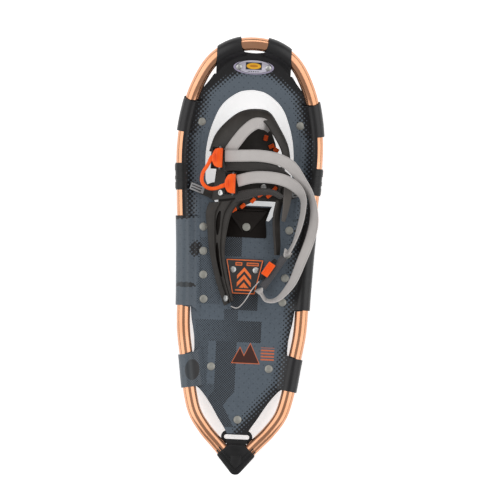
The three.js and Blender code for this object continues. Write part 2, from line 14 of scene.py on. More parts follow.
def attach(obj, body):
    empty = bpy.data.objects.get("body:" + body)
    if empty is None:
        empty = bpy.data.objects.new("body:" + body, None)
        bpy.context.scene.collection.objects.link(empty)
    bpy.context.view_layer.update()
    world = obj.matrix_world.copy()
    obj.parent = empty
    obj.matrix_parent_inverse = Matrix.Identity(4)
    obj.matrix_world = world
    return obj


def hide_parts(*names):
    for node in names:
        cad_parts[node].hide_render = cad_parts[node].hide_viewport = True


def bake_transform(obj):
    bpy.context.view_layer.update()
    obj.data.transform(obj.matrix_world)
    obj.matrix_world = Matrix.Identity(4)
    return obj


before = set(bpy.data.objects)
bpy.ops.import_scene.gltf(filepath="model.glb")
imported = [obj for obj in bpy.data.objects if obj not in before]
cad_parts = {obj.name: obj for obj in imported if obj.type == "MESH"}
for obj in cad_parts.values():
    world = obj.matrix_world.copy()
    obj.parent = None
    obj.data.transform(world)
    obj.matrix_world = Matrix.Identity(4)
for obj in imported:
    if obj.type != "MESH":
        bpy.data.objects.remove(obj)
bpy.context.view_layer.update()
MM = 0.001

# ---- driving sizes, in millimetres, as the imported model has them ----
TUBE_R = 9.5
TUBE_WALL = 1.3
DECK_Z = 29.0
DECK_T = 1.8
RISE_Y, NOSE_Y, NOSE_RISE = 130.0, 303.3, 46.0
WRAP_R = 10.8
WRAP_T = 1.0
WEB_W, WEB_T = 16.8, 1.6
ARM_END = (14.0, -283.2)
ARM_ANGLE = math.radians(43)
FOOTBED_TOP = 37.8
GAP = 0.3  # between two solids that touch in the real shoe
CUTTER_H = 120  # higher than anything it cuts
RAIL_STEP = 2.5  # between two rows of a skin that follows the rail
SIDES = {"right": 1, "left": -1}


# ---------------------------------------------------------------- curves
def curve_points(points, steps):
    """Smooth points through the given ones, evenly shared between them."""
    p = [Vector(q) for q in points]
    p = [2 * p[0] - p[1], *p, 2 * p[-1] - p[-2]]
    last = len(points) - 1
    out = []
    for i in range(steps + 1):
        place = min(i / steps * last, last - 1e-9)
        k = int(place)
        w = place - k
        a, b, c, d = p[k:k + 4]
        gaps = [max((v - u).length ** 0.5, 1e-3) for u, v in ((a, b), (b, c), (c, d))]
        m1 = (b - a) / gaps[0] - (c - a) / (gaps[0] + gaps[1]) + (c - b) / gaps[1]
        m2 = (c - b) / gaps[1] - (d - b) / (gaps[1] + gaps[2]) + (d - c) / gaps[2]
        m1, m2 = m1 * gaps[1], m2 * gaps[1]
        out.append(b + m1 * w + (3 * (c - b) - 2 * m1 - m2) * w ** 2 + (2 * (b - c) + m1 + m2) * w ** 3)
    return out


def spaced(points, steps):
    """The same line again, in steps of equal length."""
    line = [Vector(q) for q in points]
    reach = [0.0]
    for a, b in zip(line, line[1:]):
        reach.append(reach[-1] + (b - a).length)
    out, k = [], 0
    for i in range(steps + 1):
        goal = reach[-1] * i / steps
        while k < len(line) - 2 and reach[k + 1] < goal:
            k += 1
        span = max(reach[k + 1] - reach[k], 1e-9)
        out.append(line[k].lerp(line[k + 1], (goal - reach[k]) / span))
    return out


def rise(y):
    return NOSE_RISE * ((y - RISE_Y) / (NOSE_Y - RISE_Y)) ** 2 if y > RISE_Y else 0.0


def slope(y):
    return math.atan(2 * NOSE_RISE * (y - RISE_Y) / (NOSE_Y - RISE_Y) ** 2) if y > RISE_Y else 0.0


RIGHT_SIDE = [
    ARM_END, (30, -266.1), (45, -250), (60.7, -226.9), (68.9, -200), (76.5, -150), (83, -108), (85, -50),
    (88, 20), (92.5, 90), (95.3, 150), (91.5, 195), (80, 240), (58, 279), (30, 298),
]
FRAME_LINE = [*RIGHT_SIDE, (0, NOSE_Y), *[(-x, y) for x, y in reversed(RIGHT_SIDE)]]
PATH = spaced(curve_points([(x, y, DECK_Z + rise(y)) for x, y in FRAME_LINE], 900), 720)
HALF = len(PATH) // 2


def path_frame(i, side=1):
    """Place, way ahead, way inward and way up at a step of the frame's centre line, or of its left side."""
    i = i if side > 0 else len(PATH) - 1 - i
    ahead = (PATH[min(i + 1, len(PATH) - 1)] - PATH[max(i - 1, 0)]).normalized()
    inward = Vector((-ahead.y, ahead.x, ahead.x * math.tan(slope(PATH[i].y)))).normalized()
    return PATH[i], ahead, inward, ahead.cross(inward)


def path_at(y):
    """The step on the right rail that is nearest to a given y."""
    return min(range(HALF + 1), key=lambda i: abs(PATH[i].y - y))


def rail_point(y, inset):
    point, _, inward, _ = path_frame(path_at(y))
    return tuple((point + inward * inset).xy)


def mirrored(points):
    return [*points, *[(-p[0], *p[1:]) for p in reversed(points)]]


def rounded(points, radius, steps=5):
    """A closed outline with its corners rounded."""
    out = []
    for i, point in enumerate(points):
        here, before, after = (Vector(q) for q in (point, points[i - 1], points[(i + 1) % len(points)]))
        reach = min(radius, (before - here).length * 0.45, (after - here).length * 0.45)
        start = here + (before - here).normalized() * reach
        end = here + (after - here).normalized() * reach
        for k in range(steps + 1):
            w = k / steps
            out.append(tuple(start * (1 - w) ** 2 + here * 2 * w * (1 - w) + end * w ** 2))
    return out


# ---------------------------------------------------------------- making meshes
def select_only(*pieces):
    """Selects these pieces and nothing else, and makes the first one active."""
    bpy.ops.object.select_all(action="DESELECT")
    for piece in reversed(pieces):
        piece.select_set(True)
        bpy.context.view_layer.objects.active = piece


def added(operator, **settings):
    """The object that an operator adds."""
    select_only()
    operator(**settings)
    return bpy.context.object


def modify(piece, kind, **settings):
    """Adds one modifier and applies it."""
    bpy.context.view_layer.objects.active = piece
    modifier = piece.modifiers.new(kind.title(), kind)
    for name, value in settings.items():
        setattr(modifier, name, value)
    bpy.ops.object.modifier_apply(modifier=modifier.name)
    return piece


def thicken(piece, thickness, offset=-1, even=False):
    return modify(piece, "SOLIDIFY", thickness=thickness * MM, offset=offset, use_even_offset=even)


def soften(piece, width, segments=2, angle=50):
    """Bevels the edges that turn by more than the angle."""
    limit = {"limit_method": "ANGLE", "angle_limit": math.radians(angle)}
    return modify(piece, "BEVEL", width=width * MM, segments=segments, **limit)


def edit(piece, work):
    """Runs operators on the piece in edit mode."""
    select_only(piece)
    bpy.ops.object.mode_set(mode="EDIT")
    work()
    bpy.ops.object.mode_set(mode="OBJECT")
    return piece


def tidy_normals():
    bpy.ops.mesh.select_all(action="SELECT")
    bpy.ops.mesh.remove_doubles(threshold=1e-6)
    bpy.ops.mesh.normals_make_consistent(inside=False)


def flip():
    bpy.ops.mesh.select_all(action="SELECT")
    bpy.ops.mesh.flip_normals()


def pick(piece, kind, test):
    """Selects the faces or edges whose middle and normal pass a test, and nothing else."""
    mesh = piece.data
    for group in (mesh.vertices, mesh.edges, mesh.polygons):
        group.foreach_set("select", [False] * len(group))
    if kind == "faces":
        for face in mesh.polygons:
            face.select = test(face.center / MM, face.normal)
    else:
        for edge in mesh.edges:
            a, b = (mesh.vertices[i].co for i in edge.vertices)
            edge.select = test((a + b) / 2 / MM, (b - a).normalized())


def sink(piece, *steps, reach=1000):
    """Insets the faces that look up, by one width and depth after another."""
    pick(piece, "faces", lambda spot, way: way.z > 0.95 and abs(spot.x) < reach)

    def work():
        for width, depth in steps:
            bpy.ops.mesh.inset(thickness=width * MM, depth=depth * MM)

    return edit(piece, work)


def grid(steps, across, place, metres=None):
    """A flat grid laid out by place(u, v), u and v from 0 to 1, with its UV in metres."""
    parts = {"x_subdivisions": steps, "y_subdivisions": across}
    piece = added(bpy.ops.mesh.primitive_grid_add, size=1, calc_uvs=True, **parts)
    mesh = piece.data
    home = [(v.co.x + 0.5, v.co.y + 0.5) for v in mesh.vertices]
    spots = [Vector(place(u, v)) * MM for u, v in home]
    for vertex, spot in zip(mesh.vertices, spots):
        vertex.co = spot
    if metres:
        layer = mesh.uv_layers.active.data
        for loop in mesh.loops:
            u, v = home[loop.vertex_index]
            layer[loop.index].uv = (u * metres[0] * MM, v * metres[1] * MM)
    return piece


def length_of(line):
    return sum((b - a).length for a, b in zip(line, line[1:]))


def strip(edge_a, edge_b, thickness, steps, across=6, crown=0.0, rounding=0.0):
    """A strip of even thickness between two edge lines, crowned across by the given rise."""
    a = curve_points(edge_a, steps)
    b = curve_points(edge_b, steps)
    middle = [(p + q) / 2 for p, q in zip(a, b)]

    def place(u, v):
        i = round(u * steps)
        ahead = middle[min(i + 1, steps)] - middle[max(i - 1, 0)]
        normal = ahead.cross(b[i] - a[i]).normalized()
        return a[i].lerp(b[i], v) + normal * crown * (1 - (2 * v - 1) ** 2)

    width = sum((p - q).length for p, q in zip(a, b)) / (steps + 1)
    piece = grid(steps, across, place, (length_of(middle), width))
    thicken(piece, thickness, offset=0, even=True)
    return soften(piece, rounding) if rounding else piece


def tape_edges(points, width):
    """The two edges of a tape along x, y, z, lean: lean 0 lies flat, lean 90 stands on its edge."""
    line = curve_points([p[:3] for p in points], 8 * (len(points) - 1))
    edges = ([], [])
    for i, (x, y, z, lean) in enumerate(points):
        k = 8 * i
        ahead = line[min(k + 1, len(line) - 1)] - line[max(k - 1, 0)]
        side = Vector((-ahead.y, ahead.x, 0)).normalized()
        angle = math.radians(lean)
        reach = side * math.cos(angle) + Vector((0, 0, math.sin(angle)))
        for edge, sign in zip(edges, (-0.5, 0.5)):
            edge.append(Vector((x, y, z)) + reach * width * sign)
    return edges


def tape(points, steps, width=WEB_W, thickness=WEB_T, crown=0.25, rounding=0.45):
    return strip(*tape_edges(points, width), thickness, steps, 8, crown, rounding)


def around_line(line, radius, sides, start=0.0, turn=2 * math.pi, squash=1.0):
    """A round skin along a line; a turn under a whole one leaves it open."""
    steps = len(line) - 1
    frames = []
    side = Vector((0, 0, 1)).cross(line[1] - line[0])
    if side.length < 1e-6:
        side = Vector((1, 0, 0))
    for i, point in enumerate(line):
        ahead = (line[min(i + 1, steps)] - line[max(i - 1, 0)]).normalized()
        side = (side - ahead * side.dot(ahead)).normalized()
        frames.append((point, side, ahead.cross(side)))

    def place(u, v):
        point, out, up = frames[round(u * steps)]
        angle = start + turn * v
        return point + (out * math.cos(angle) + up * math.sin(angle) * squash) * radius

    return grid(steps, sides, place, (length_of(line), turn * radius))


def rod(line, radius, sides=12, squash=1.0):
    """A solid round bar along a line, with its ends closed."""
    piece = around_line([Vector(point) for point in line], radius, sides, squash=squash)

    def work():
        tidy_normals()
        bpy.ops.mesh.select_all(action="DESELECT")
        bpy.ops.mesh.select_non_manifold()
        bpy.ops.mesh.edge_face_add()
        bpy.ops.mesh.select_all(action="SELECT")
        bpy.ops.mesh.normals_make_consistent(inside=False)

    return edit(piece, work)


def plate(outline, bottom, thickness, bevel=0.0, segments=2):
    """A flat plate: one face in the outline's shape, extruded up, its rims bevelled."""
    piece = added(bpy.ops.mesh.primitive_circle_add, vertices=len(outline), radius=1, fill_type="NGON")
    for vertex, (x, y) in zip(piece.data.vertices, outline):
        vertex.co = Vector((x, y, bottom)) * MM

    def work():
        bpy.ops.mesh.select_all(action="SELECT")
        bpy.ops.mesh.extrude_region_move(TRANSFORM_OT_translate={"value": (0, 0, thickness * MM)})
        bpy.ops.mesh.select_all(action="SELECT")
        bpy.ops.mesh.normals_make_consistent(inside=False)

    edit(piece, work)
    if bevel:
        middle = bottom + thickness / 2
        pick(piece, "edges", lambda spot, way: abs(way.z) < 0.1 and abs(spot.z - middle) > thickness * 0.3)
        edit(piece, lambda: bpy.ops.mesh.bevel(offset=bevel * MM, segments=segments, affect="EDGES"))
    return piece


def block(size, rounding, segments=3):
    """A rounded block round the origin."""
    piece = added(bpy.ops.mesh.primitive_cube_add, size=1)
    for vertex in piece.data.vertices:
        vertex.co = Vector(c * s * MM for c, s in zip(vertex.co, size))
    return modify(piece, "BEVEL", width=rounding * MM, segments=segments, limit_method="NONE")


def turned(profile, sides=28):
    """A round piece about z from a profile of radius, height, turned by spin."""
    piece = added(bpy.ops.mesh.primitive_plane_add, size=1)
    shape = bmesh.new()
    line = [shape.verts.new(Vector((r, 0, z)) * MM) for r, z in profile]
    for a, b in zip(line, line[1:]):
        shape.edges.new((a, b))
    shape.to_mesh(piece.data)
    shape.free()

    def work():
        bpy.ops.mesh.select_all(action="SELECT")
        bpy.ops.mesh.spin(steps=sides, angle=2 * math.pi, center=(0, 0, 0), axis=(0, 0, 1))
        tidy_normals()

    return edit(piece, work)


def moved(piece, matrix):
    piece.data.transform(matrix)
    return piece


def shift(x, y, z):
    return Matrix.Translation(Vector((x, y, z)) * MM)


def turn(degrees, axis):
    return Matrix.Rotation(math.radians(degrees), 4, axis)


def boolean(piece, tool, operation="DIFFERENCE"):
    """Cuts with or adds another mesh, which is then removed."""
    modify(piece, "BOOLEAN", operation=operation, object=tool, solver="EXACT")
    bpy.data.objects.remove(tool)
    return piece


def join(*parts):
    select_only(*parts)
    bpy.ops.object.join()
    return parts[0]


def hand_in(piece, name, finish, body, replaced=(), angle=35):
    """Names a piece, gives it its finish and lets it ride on its body."""
    piece.name = name
    piece.data.name = name
    select_only(piece)
    bpy.ops.object.shade_smooth_by_angle(angle=math.radians(angle))
    piece.data.materials.clear()
    piece.data.materials.append(finish)
    if replaced:
        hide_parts(*replaced)
    if body:
        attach(piece, body)
    return piece


# ---------------------------------------------------------------- finishes
class Value:
    """A node's output, so that shader sums read as sums."""

    def __init__(self, finish, socket):
        self.finish, self.socket = finish, socket

    def math(self, operation, *others):
        inputs = dict(enumerate((self, *others)))
        return self.finish.node("ShaderNodeMath", {"operation": operation}, inputs)

    def __add__(self, other):
        return self.math("ADD", other)

    def __sub__(self, other):
        return self.math("SUBTRACT", other)

    def __mul__(self, other):
        return self.math("MULTIPLY", other)

    def __truediv__(self, other):
        return self.math("DIVIDE", other)

    def __rsub__(self, other):
        return self.math("MULTIPLY", -1).math("ADD", other)

    __radd__ = __add__
    __rmul__ = __mul__

    def wave(self, pitch):
        """A cosine from -1 to 1 that repeats at every pitch."""
        return (self * (2 * math.pi / pitch)).math("COSINE")

    def between(self, low, high, edge=0.4):
        """1 from low to high and 0 outside, each side softened over the edge."""
        return self.ramp(low - edge, low + edge) * self.ramp(high + edge, high - edge)

    def ramp(self, zero, one):
        """0 at one value and 1 at the other, clamped, straight between them."""
        inputs = {"Value": self, "From Min": zero, "From Max": one}
        return self.finish.node("ShaderNodeMapRange", {"clamp": True}, inputs)

    def largest(self, other):
        return self.math("MAXIMUM", other)

    def smallest(self, other):
        return self.math("MINIMUM", other)


def lattice(a, b, pitch):
    """0 to 1, highest at the spots of a staggered lattice."""
    return 0.5 + a.wave(pitch) * b.wave(pitch) * 0.5


def oval(x, y, middle_x, middle_y, half_x, half_y):
    """The square of the distance from an oval's middle: 1 on its rim."""
    return ((x - middle_x) / half_x).math("POWER", 2) + ((y - middle_y) / half_y).math("POWER", 2)


class Finish:
    """A material with one Principled shader and the nodes that feed it."""

    def __init__(self, name, **constants):
        self.material = bpy.data.materials.new(name)
        self.material.use_nodes = True
        self.tree = self.material.node_tree
        self.shader = self.tree.nodes["Principled BSDF"]
        for socket, value in constants.items():
            self.shader.inputs[socket.replace("_", " ")].default_value = value

    def node(self, kind, settings=None, sockets=None, output=0):
        node = self.tree.nodes.new(kind)
        for name, value in (settings or {}).items():
            setattr(node, name, value)
        for name, value in (sockets or {}).items():
            if isinstance(value, Value):
                self.tree.links.new(value.socket, node.inputs[name])
            else:
                node.inputs[name].default_value = value
        return Value(self, node.outputs[output])

    def feed(self, **values):
        for name, value in values.items():
            self.tree.links.new(value.socket, self.shader.inputs[name.replace("_", " ")])
        return self

    def parts(self, vector):
        """x, y and z of a place, in millimetres."""
        split = [self.node("ShaderNodeSeparateXYZ", None, {"Vector": vector}, k) for k in range(3)]
        return [part * 1000 for part in split]

    def place(self):
        return self.node("ShaderNodeTexCoord", None, None, "Object")

    def flat_place(self):
        return self.node("ShaderNodeUVMap")

    def attribute(self, name):
        return self.node("ShaderNodeAttribute", {"attribute_name": name}, None, "Fac")

    def noise(self, scale, detail=3.0, place=None, roughness=0.55):
        inputs = {"Vector": place or self.place(), "Scale": scale, "Detail": detail, "Roughness": roughness}
        return self.node("ShaderNodeTexNoise", None, inputs)

    def stretched(self, place, x, y, z=1.0):
        inputs = {"Vector": place, "Scale": (x, y, z)}
        return self.node("ShaderNodeMapping", None, inputs)

    def mix(self, low, high, factor):
        """From the low colour to the high one."""
        low, high = (shade if isinstance(shade, Value) else (*shade, 1.0) for shade in (low, high))
        inputs = {0: factor, 6: low, 7: high}
        return self.node("ShaderNodeMix", {"data_type": "RGBA"}, inputs, 2)

    def bump(self, height, distance, strength=1.0):
        inputs = {"Height": height, "Distance": distance * MM, "Strength": strength}
        return self.node("ShaderNodeBump", None, inputs, "Normal")

    def done(self, shade, roughness, height, distance, strength):
        """The material, once its colour, roughness and relief are fed."""
        self.feed(Base_Color=shade, Roughness=roughness, Normal=self.bump(height, distance, strength))
        return self.material


BLUE = (0.075, 0.094, 0.116)
BLUE_WORN = (0.091, 0.113, 0.138)
INK = (0.0105, 0.0100, 0.0110)
DARK_RED = (0.045, 0.012, 0.008)


def copper_finish():
    """Anodised tube: fine lines along the draw, slight tone changes, a few scuffs."""
    f = Finish("copper_anodised", Metallic=1.0)
    along = f.stretched(f.flat_place(), 14, 900)
    lines = f.noise(1.0, 2.0, along)
    tone = f.noise(16, 4.0)
    scuffs = f.noise(150, 5.0).ramp(0.66, 0.76)
    base = f.mix((0.68, 0.355, 0.215), (0.60, 0.295, 0.165), tone.ramp(0.35, 0.65))
    shade = f.mix(base, (0.80, 0.54, 0.38), scuffs * 0.5)
    return f.done(shade, 0.13 + lines * 0.08 + scuffs * 0.12, lines, 0.02, 0.3)


# printed blocks on the deck: left, right, back and front edge, softness along y, darkness
SCREENED = (
    (-31, -5, -1, 30, 0.3, 0.62), (-66, -33, -70, 25, 0.4, 0.36), (-17, 21, -77, -52, 0.3, 0.66),
    (-26, -6, -96, -76, 0.4, 0.5), (-75, -47, -190, -122, 2, 0.38), (-60, -34, -250, -184, 1, 0.42),
)


DOT_PITCH, SCREEN_PITCH, PIN_PITCH = 6.6, 3.5, 13.4
MARK_Y = -152  # the foot of the two printed peaks


def deck_finish():
    """Coated sheet: blue ground, black margin that breaks up into dots, and large screened blocks."""
    f = Finish("deck_print", Specular_IOR_Level=0.36)
    x, y, _ = f.parts(f.place())
    inset, rim = f.attribute("inset"), f.attribute("rim")
    worn = f.noise(420, 4.0)

    # the margin's width follows the frame: wide round the nose, and gone on the left behind the middle
    left_gone = y.ramp(52, 44) * x.ramp(-6, -14)
    nose = y.ramp(232, 262)
    rear = y.ramp(52, 40)
    shoulder = y.ramp(170, 182)
    full = 1.0 + shoulder * 7 + nose * 21 + rear * 6 - left_gone * 60
    fade = 22.0
    tail_side = 171 - x * 0.786 + y * 0.618
    edge = inset.smallest(tail_side)
    margin = ((full + fade - edge) / fade).ramp(0, 1) * (y.ramp(232, 226).largest(rim.ramp(6, 16)))
    round_dots = lattice(x, y, DOT_PITCH)
    dots = (margin * 1.06 - round_dots).ramp(-0.05, 0.05)
    margin_ink = dots * margin.ramp(0.02, 0.06)

    # screened blocks: a fine checker whose squares grow where the block is dark
    screen = lattice(x, y, SCREEN_PITCH)
    bend_left = x + (y + 193).smallest(0).largest(-21) * -0.75
    tail_bend = bend_left.smallest(x + 16 + (y + 214).smallest(0) * 0.55)
    blocks = x.between(-66, 28) * y.between(-123, -92, 0.3) * (0.36 + x.ramp(-60, 30) * 0.30)
    blocks = blocks.largest(tail_bend.between(-36, -6) * y.between(-245, -122, 0.3) * 0.56)
    for left, right, back, front, soft, amount in SCREENED:
        blocks = blocks.largest(x.between(left, right) * y.between(back, front, soft) * amount)
    blotches = oval(x, y, -68, -165, 10.5, 15).ramp(1.06, 0.94)
    for spot, amount in ((oval(x, y, -71, 8, 10, 13), 0.72), (oval(x, y, -84, -44, 18, 4.2), 1.0)):
        blotches = blotches.largest((spot.ramp(1.1, 0.3) * amount * 1.25 - round_dots).ramp(-0.05, 0.05))
    block_ink = (blocks - screen).ramp(-0.06, 0.06) * blocks.ramp(0.05, 0.1)

    # two rows of even pin dots over the blue
    rows = ((x, y), (x + PIN_PITCH / 2, y + PIN_PITCH / 2))
    sums = [a.wave(PIN_PITCH) * 0.5 + b.wave(PIN_PITCH) * 0.5 for a, b in rows]
    pins = sums[0].ramp(0.93, 0.96).largest(sums[1].ramp(0.93, 0.96)) * 0.42
    ink = margin_ink.largest(block_ink * 0.94).largest(blotches).largest(pins)

    # two plain peaks and a stack of bars, where the size mark sits
    low = y - MARK_Y
    peaks, halo = None, None
    for middle, half, high in ((-1, 10.5, 21), (13.5, 13, 27)):
        side = (x - middle).math("ABSOLUTE")
        inside = (1 - side / half) * high - low
        solid = inside.ramp(-0.2, 0.2) * low.ramp(-0.2, 0.2)
        wider = (inside + 2.2).ramp(-0.2, 0.2) * (low + 1.2).ramp(-0.2, 0.2)
        peaks = solid if peaks is None else peaks.largest(solid)
        halo = wider if halo is None else halo.largest(wider)
    slim = x.between(29, 48) * (0.5 + (y + 1).wave(4.4) * 0.5).ramp(0.45, 0.55) * y.between(-149, -129, 0.3)
    ground = f.mix(BLUE, BLUE_WORN, worn.ramp(0.35, 0.7))
    ground = f.mix(ground, (0.112, 0.136, 0.163), y.ramp(90, 240) * 0.6)
    printed = f.mix(ground, INK, ink)
    marked = f.mix(printed, (0.55, 0.130, 0.045), halo.largest(slim) * 0.9)
    marked = f.mix(marked, DARK_RED, peaks)
    # painted highlight: the crest of the left wraps over the tube is lightened to a pale blue-grey, as a
    # glint of the side lights
    wrap_crest_highlight = inset.ramp(11, 3) * left_gone
    shown = f.mix(marked, (0.085, 0.100, 0.112), wrap_crest_highlight * 0.35)
    scratches = f.noise(1.0, 5.0, f.stretched(f.place(), 700, 120, 300)).ramp(0.62, 0.74)
    shown = f.mix(shown, (0.20, 0.215, 0.225), scratches * 0.10)
    grain = f.noise(1500, 2.0) + (x.wave(1.1) + y.wave(1.1)) * 0.12
    return f.done(shown, 0.34 + worn * 0.14 - ink * 0.05, grain, 0.05, 0.55)


def moulded_finish(
    name, low, high, roughness, gloss=0.25, grain=1800, depth=0.05, wear=(0.07, 0.067, 0.064), edge=0.2,
):
    """Moulded plastic or rubber: fine grain, cloudy tone, dusty scuffs."""
    f = Finish(name, Specular_IOR_Level=gloss)
    cloud = f.noise(55, 4.0)
    fine = f.noise(grain, 3.0)
    scuffs = f.noise(260, 6.0, None, 0.7).ramp(0.60, 0.74)
    base = f.mix(low, high, cloud.ramp(0.35, 0.7))
    shade = f.mix(base, wear, scuffs * edge)
    return f.done(shade, roughness + cloud * 0.10 + scuffs * 0.12, fine, depth, 0.6)


def webbing_finish(name="woven_tape", low=(0.345, 0.320, 0.308), high=(0.545, 0.515, 0.498)):
    """Woven nylon tape: ribs across, pairs of yarns along, darker selvedge lines, soft sheen."""
    f = Finish(name, Sheen_Weight=0.35, Sheen_Roughness=0.5)
    u, v, _ = f.parts(f.flat_place())
    ribs = 0.5 + (u + v.wave(2.2) * 0.18).wave(1.15) * 0.5
    yarns = 0.5 + (v + u.wave(1.15) * 0.1).wave(1.1) * 0.5
    weave = ribs * 0.65 + yarns * 0.35
    fuzz = f.noise(2600, 2.0)
    tone = f.noise(45, 4.0)
    shade = f.mix(low, high, (weave * 0.55 + fuzz * 0.2 + tone * 0.45).ramp(0.15, 0.95))
    stripe = v.between(0.7, 1.5, 0.25).largest(v.between(15.3, 16.1, 0.25))
    shade = f.mix(shade, (0.19, 0.17, 0.165), stripe * 0.45)
    return f.done(shade, 0.72 + fuzz * 0.2, weave + fuzz * 0.4, 0.30, 0.75)


def steel_finish(name, low, high, roughness):
    """Stamped metal: fine rolling lines, dull patches, bright nicks."""
    f = Finish(name, Metallic=1.0)
    lines = f.noise(1.0, 3.0, f.stretched(f.place(), 90, 2400, 2400))
    tone = f.noise(130, 4.0)
    nicks = f.noise(700, 4.0).ramp(0.66, 0.76)
    base = f.mix(low, high, tone.ramp(0.3, 0.7))
    shade = f.mix(base, (0.72, 0.71, 0.68), nicks * 0.5)
    return f.done(shade, roughness + lines * 0.16, lines + tone, 0.03, 0.5)


def handle_finish():
    """Dark textured sleeve: close ribs round the handle."""
    f = Finish("ribbed_handle", Sheen_Weight=0.2)
    u, v, _ = f.parts(f.flat_place())
    knurl = lattice(u + v, u - v, 1.7)
    speck = f.noise(1400, 3.0)
    shade = f.mix((0.028, 0.026, 0.028), (0.095, 0.092, 0.10), knurl * 0.6 + speck * 0.3)
    return f.done(shade, 0.62 + speck * 0.2, knurl + speck * 0.3, 0.35, 0.8)


COPPER = copper_finish()
DECK = deck_finish()
PLASTIC = moulded_finish("black_nylon", (0.006, 0.006, 0.0065), (0.012, 0.0115, 0.012), 0.34, 0.3)
RUBBER = moulded_finish(
    "charcoal_urethane", (0.023, 0.020, 0.0175), (0.037, 0.032, 0.028), 0.46, 0.30,
    wear=(0.11, 0.10, 0.088), edge=0.2,
)
APRON = moulded_finish("apron_rubber", (0.006, 0.004, 0.0032), (0.010, 0.0075, 0.006), 0.6, 0.12)
TONGUE = moulded_finish("tongue_rubber", (0.009, 0.006, 0.005), (0.014, 0.011, 0.009), 0.55, 0.18)
BRIGHT = moulded_finish(
    "orange_nylon", (0.84, 0.088, 0.004), (0.92, 0.120, 0.008), 0.38, 0.3,
    wear=(0.95, 0.28, 0.09), edge=0.25,
)
WEBBING = webbing_finish()
# the same woven tape with painted shade: darker colours stand in for the shadow that the inner instep tape
# lies in
SHADED_WEBBING = webbing_finish("shaded_woven_tape", (0.060, 0.052, 0.046), (0.105, 0.093, 0.083))
STEEL = steel_finish("stamped_steel", (0.20, 0.20, 0.205), (0.31, 0.31, 0.31), 0.34)
RIVET = steel_finish("satin_rivet", (0.29, 0.285, 0.26), (0.39, 0.385, 0.35), 0.50)
CHROME = steel_finish("bright_pin", (0.50, 0.50, 0.49), (0.62, 0.62, 0.61), 0.28)
HANDLE = handle_finish()


# ---------------------------------------------------------------- frame and deck
def frame_tube():
    line = spaced(PATH, 240)
    tube = around_line(line, TUBE_R, 32)
    edit(tube, tidy_normals)
    thicken(tube, TUBE_WALL)
    hand_in(tube, "bent_tube", COPPER, "root", ["frame_tube"])


TAIL_EDGE = [(14.5, -254), (17, -249), (21, -242.5), (28, -232), (38, -215.5), (49, -200), (57, -191)]
TAB_INSET = 17.0
WRAP_LEAVES = 16  # where a line that touches the wrap meets the deck, in from the tube's centre
TABS = [(-190, -142), (-73, 54), (176, 222), (268, 301)]
LIP = (54, 176)
CLEAR = 9.9  # just off the tube's side
BARE_EDGE = {  # after each tab: y and distance in from the tube's centre
    -142: [
        (-142, CLEAR), (-140.5, 10.8), (-138.5, 11.8), (-135, 12.7), (-128, 13.6), (-120, 14.4), (-111, 14),
        (-102, 13.2), (-93, 11.8), (-85, 10.9), (-78, 10.3), (-73.5, CLEAR),
    ],
    54: [(y, TAB_INSET) for y in range(62, 175, 8)],
    222: [
        (222, 8.8), (230, 8.8), (238, 8.8), (244, 9.6), (249, 11.4), (254, 12.7), (259, 13.3), (263, 13.7),
        (267, 14.3),
    ],
    301: [(301.8, 12.0), (302.5, 12.9), (303.0, 14.2), (303.25, 14.7)],
}
ROUND_FRONT = 10  # so many of the opening's points are on its round front
OPENING = [
    (0, 238), (16, 235.5), (27.7, 229), (38.5, 220), (46.5, 209), (52.5, 195), (58, 178), (61.5, 160),
    (63, 141.7), (61.5, 108), (57, 96), (34.5, 55), (31, 51.5), (27, 53.5), (27.5, 57), (35.5, 73),
]
NOSE_TAB = [
    (19.8, 320), (19.6, 303), (17.6, 295.5), (14, 291.5), (11, 289.5), (10, 255), (53.2, 255), (53.2, 320),
]


def rail_edge():
    """The deck's right edge from tail to nose."""
    edge = [(-190, CLEAR)]
    for low, high in TABS:
        steps = max(2, round((high - low) / 8))
        edge += [(low + (high - low) * k / steps, TAB_INSET) for k in range(steps + 1)]
        edge += BARE_EDGE[high]
    return [rail_point(y, inset) for y, inset in edge]


def distance_to(line, spots):
    """Each spot's distance in plan, in millimetres, to the nearest point of a line."""
    line = np.array([tuple(p)[:2] for p in line])
    near = [np.sqrt(((part[:, None, :] - line) ** 2).sum(-1)).min(1) for part in np.array_split(spots, 40)]
    return np.concatenate(near)


def flat_curve(points, steps):
    return [tuple(p.xy) for p in curve_points([(x, y, 0) for x, y in points], steps)]


def opening_outline():
    """The toe opening: a round front, straight slanted sides, and a hook beside the apron."""
    half = OPENING[:ROUND_FRONT]
    front = flat_curve([*[(-x, y) for x, y in reversed(half)], *half], 90)
    hook = spaced(curve_points([(x, y, 0) for x, y in OPENING[ROUND_FRONT:]], 40), 30)
    right = [*front[45:], *[tuple(p.xy) for p in hook[:-1]], OPENING[-1]]
    return mirrored(right)[:-1]


def deck_sheet():
    """The flat sheet with its turned-up front, cut to its outline and its toe opening."""
    low, high, half = -257, 306, 98

    def place(u, v):
        y = low + (high - low) * u
        return ((0.5 - v) * 2 * half, y, DECK_Z + rise(y))

    sheet = grid(150, 54, place)
    thicken(sheet, DECK_T, offset=0)
    edge = plate(mirrored([*flat_curve(TAIL_EDGE, 20), *rail_edge()]), 0, CUTTER_H)
    boolean(sheet, edge, "INTERSECT")
    return boolean(sheet, plate(opening_outline(), 0, CUTTER_H))


def wrap_section(whole):
    """Across the rail: distance in and height of the sheet as it leaves the deck and rounds the tube."""
    lean = math.acos(WRAP_R / WRAP_LEAVES)
    last = 2 * math.pi - lean if whole else math.pi / 2 + 0.15
    steps = 30 if whole else 12
    arc = [lean + (last - lean) * k / steps for k in range(steps + 1)]
    top = DECK_T / 2 - 0.07
    flat = [(23, top), (19, top), (17.2, top + 0.1), (15.6, top + 0.75), (13.2, 2.9)]
    section = flat + [(WRAP_R * math.cos(a), WRAP_R * math.sin(a)) for a in arc]
    return section + [(x, -y) for x, y in reversed(flat)] if whole else section


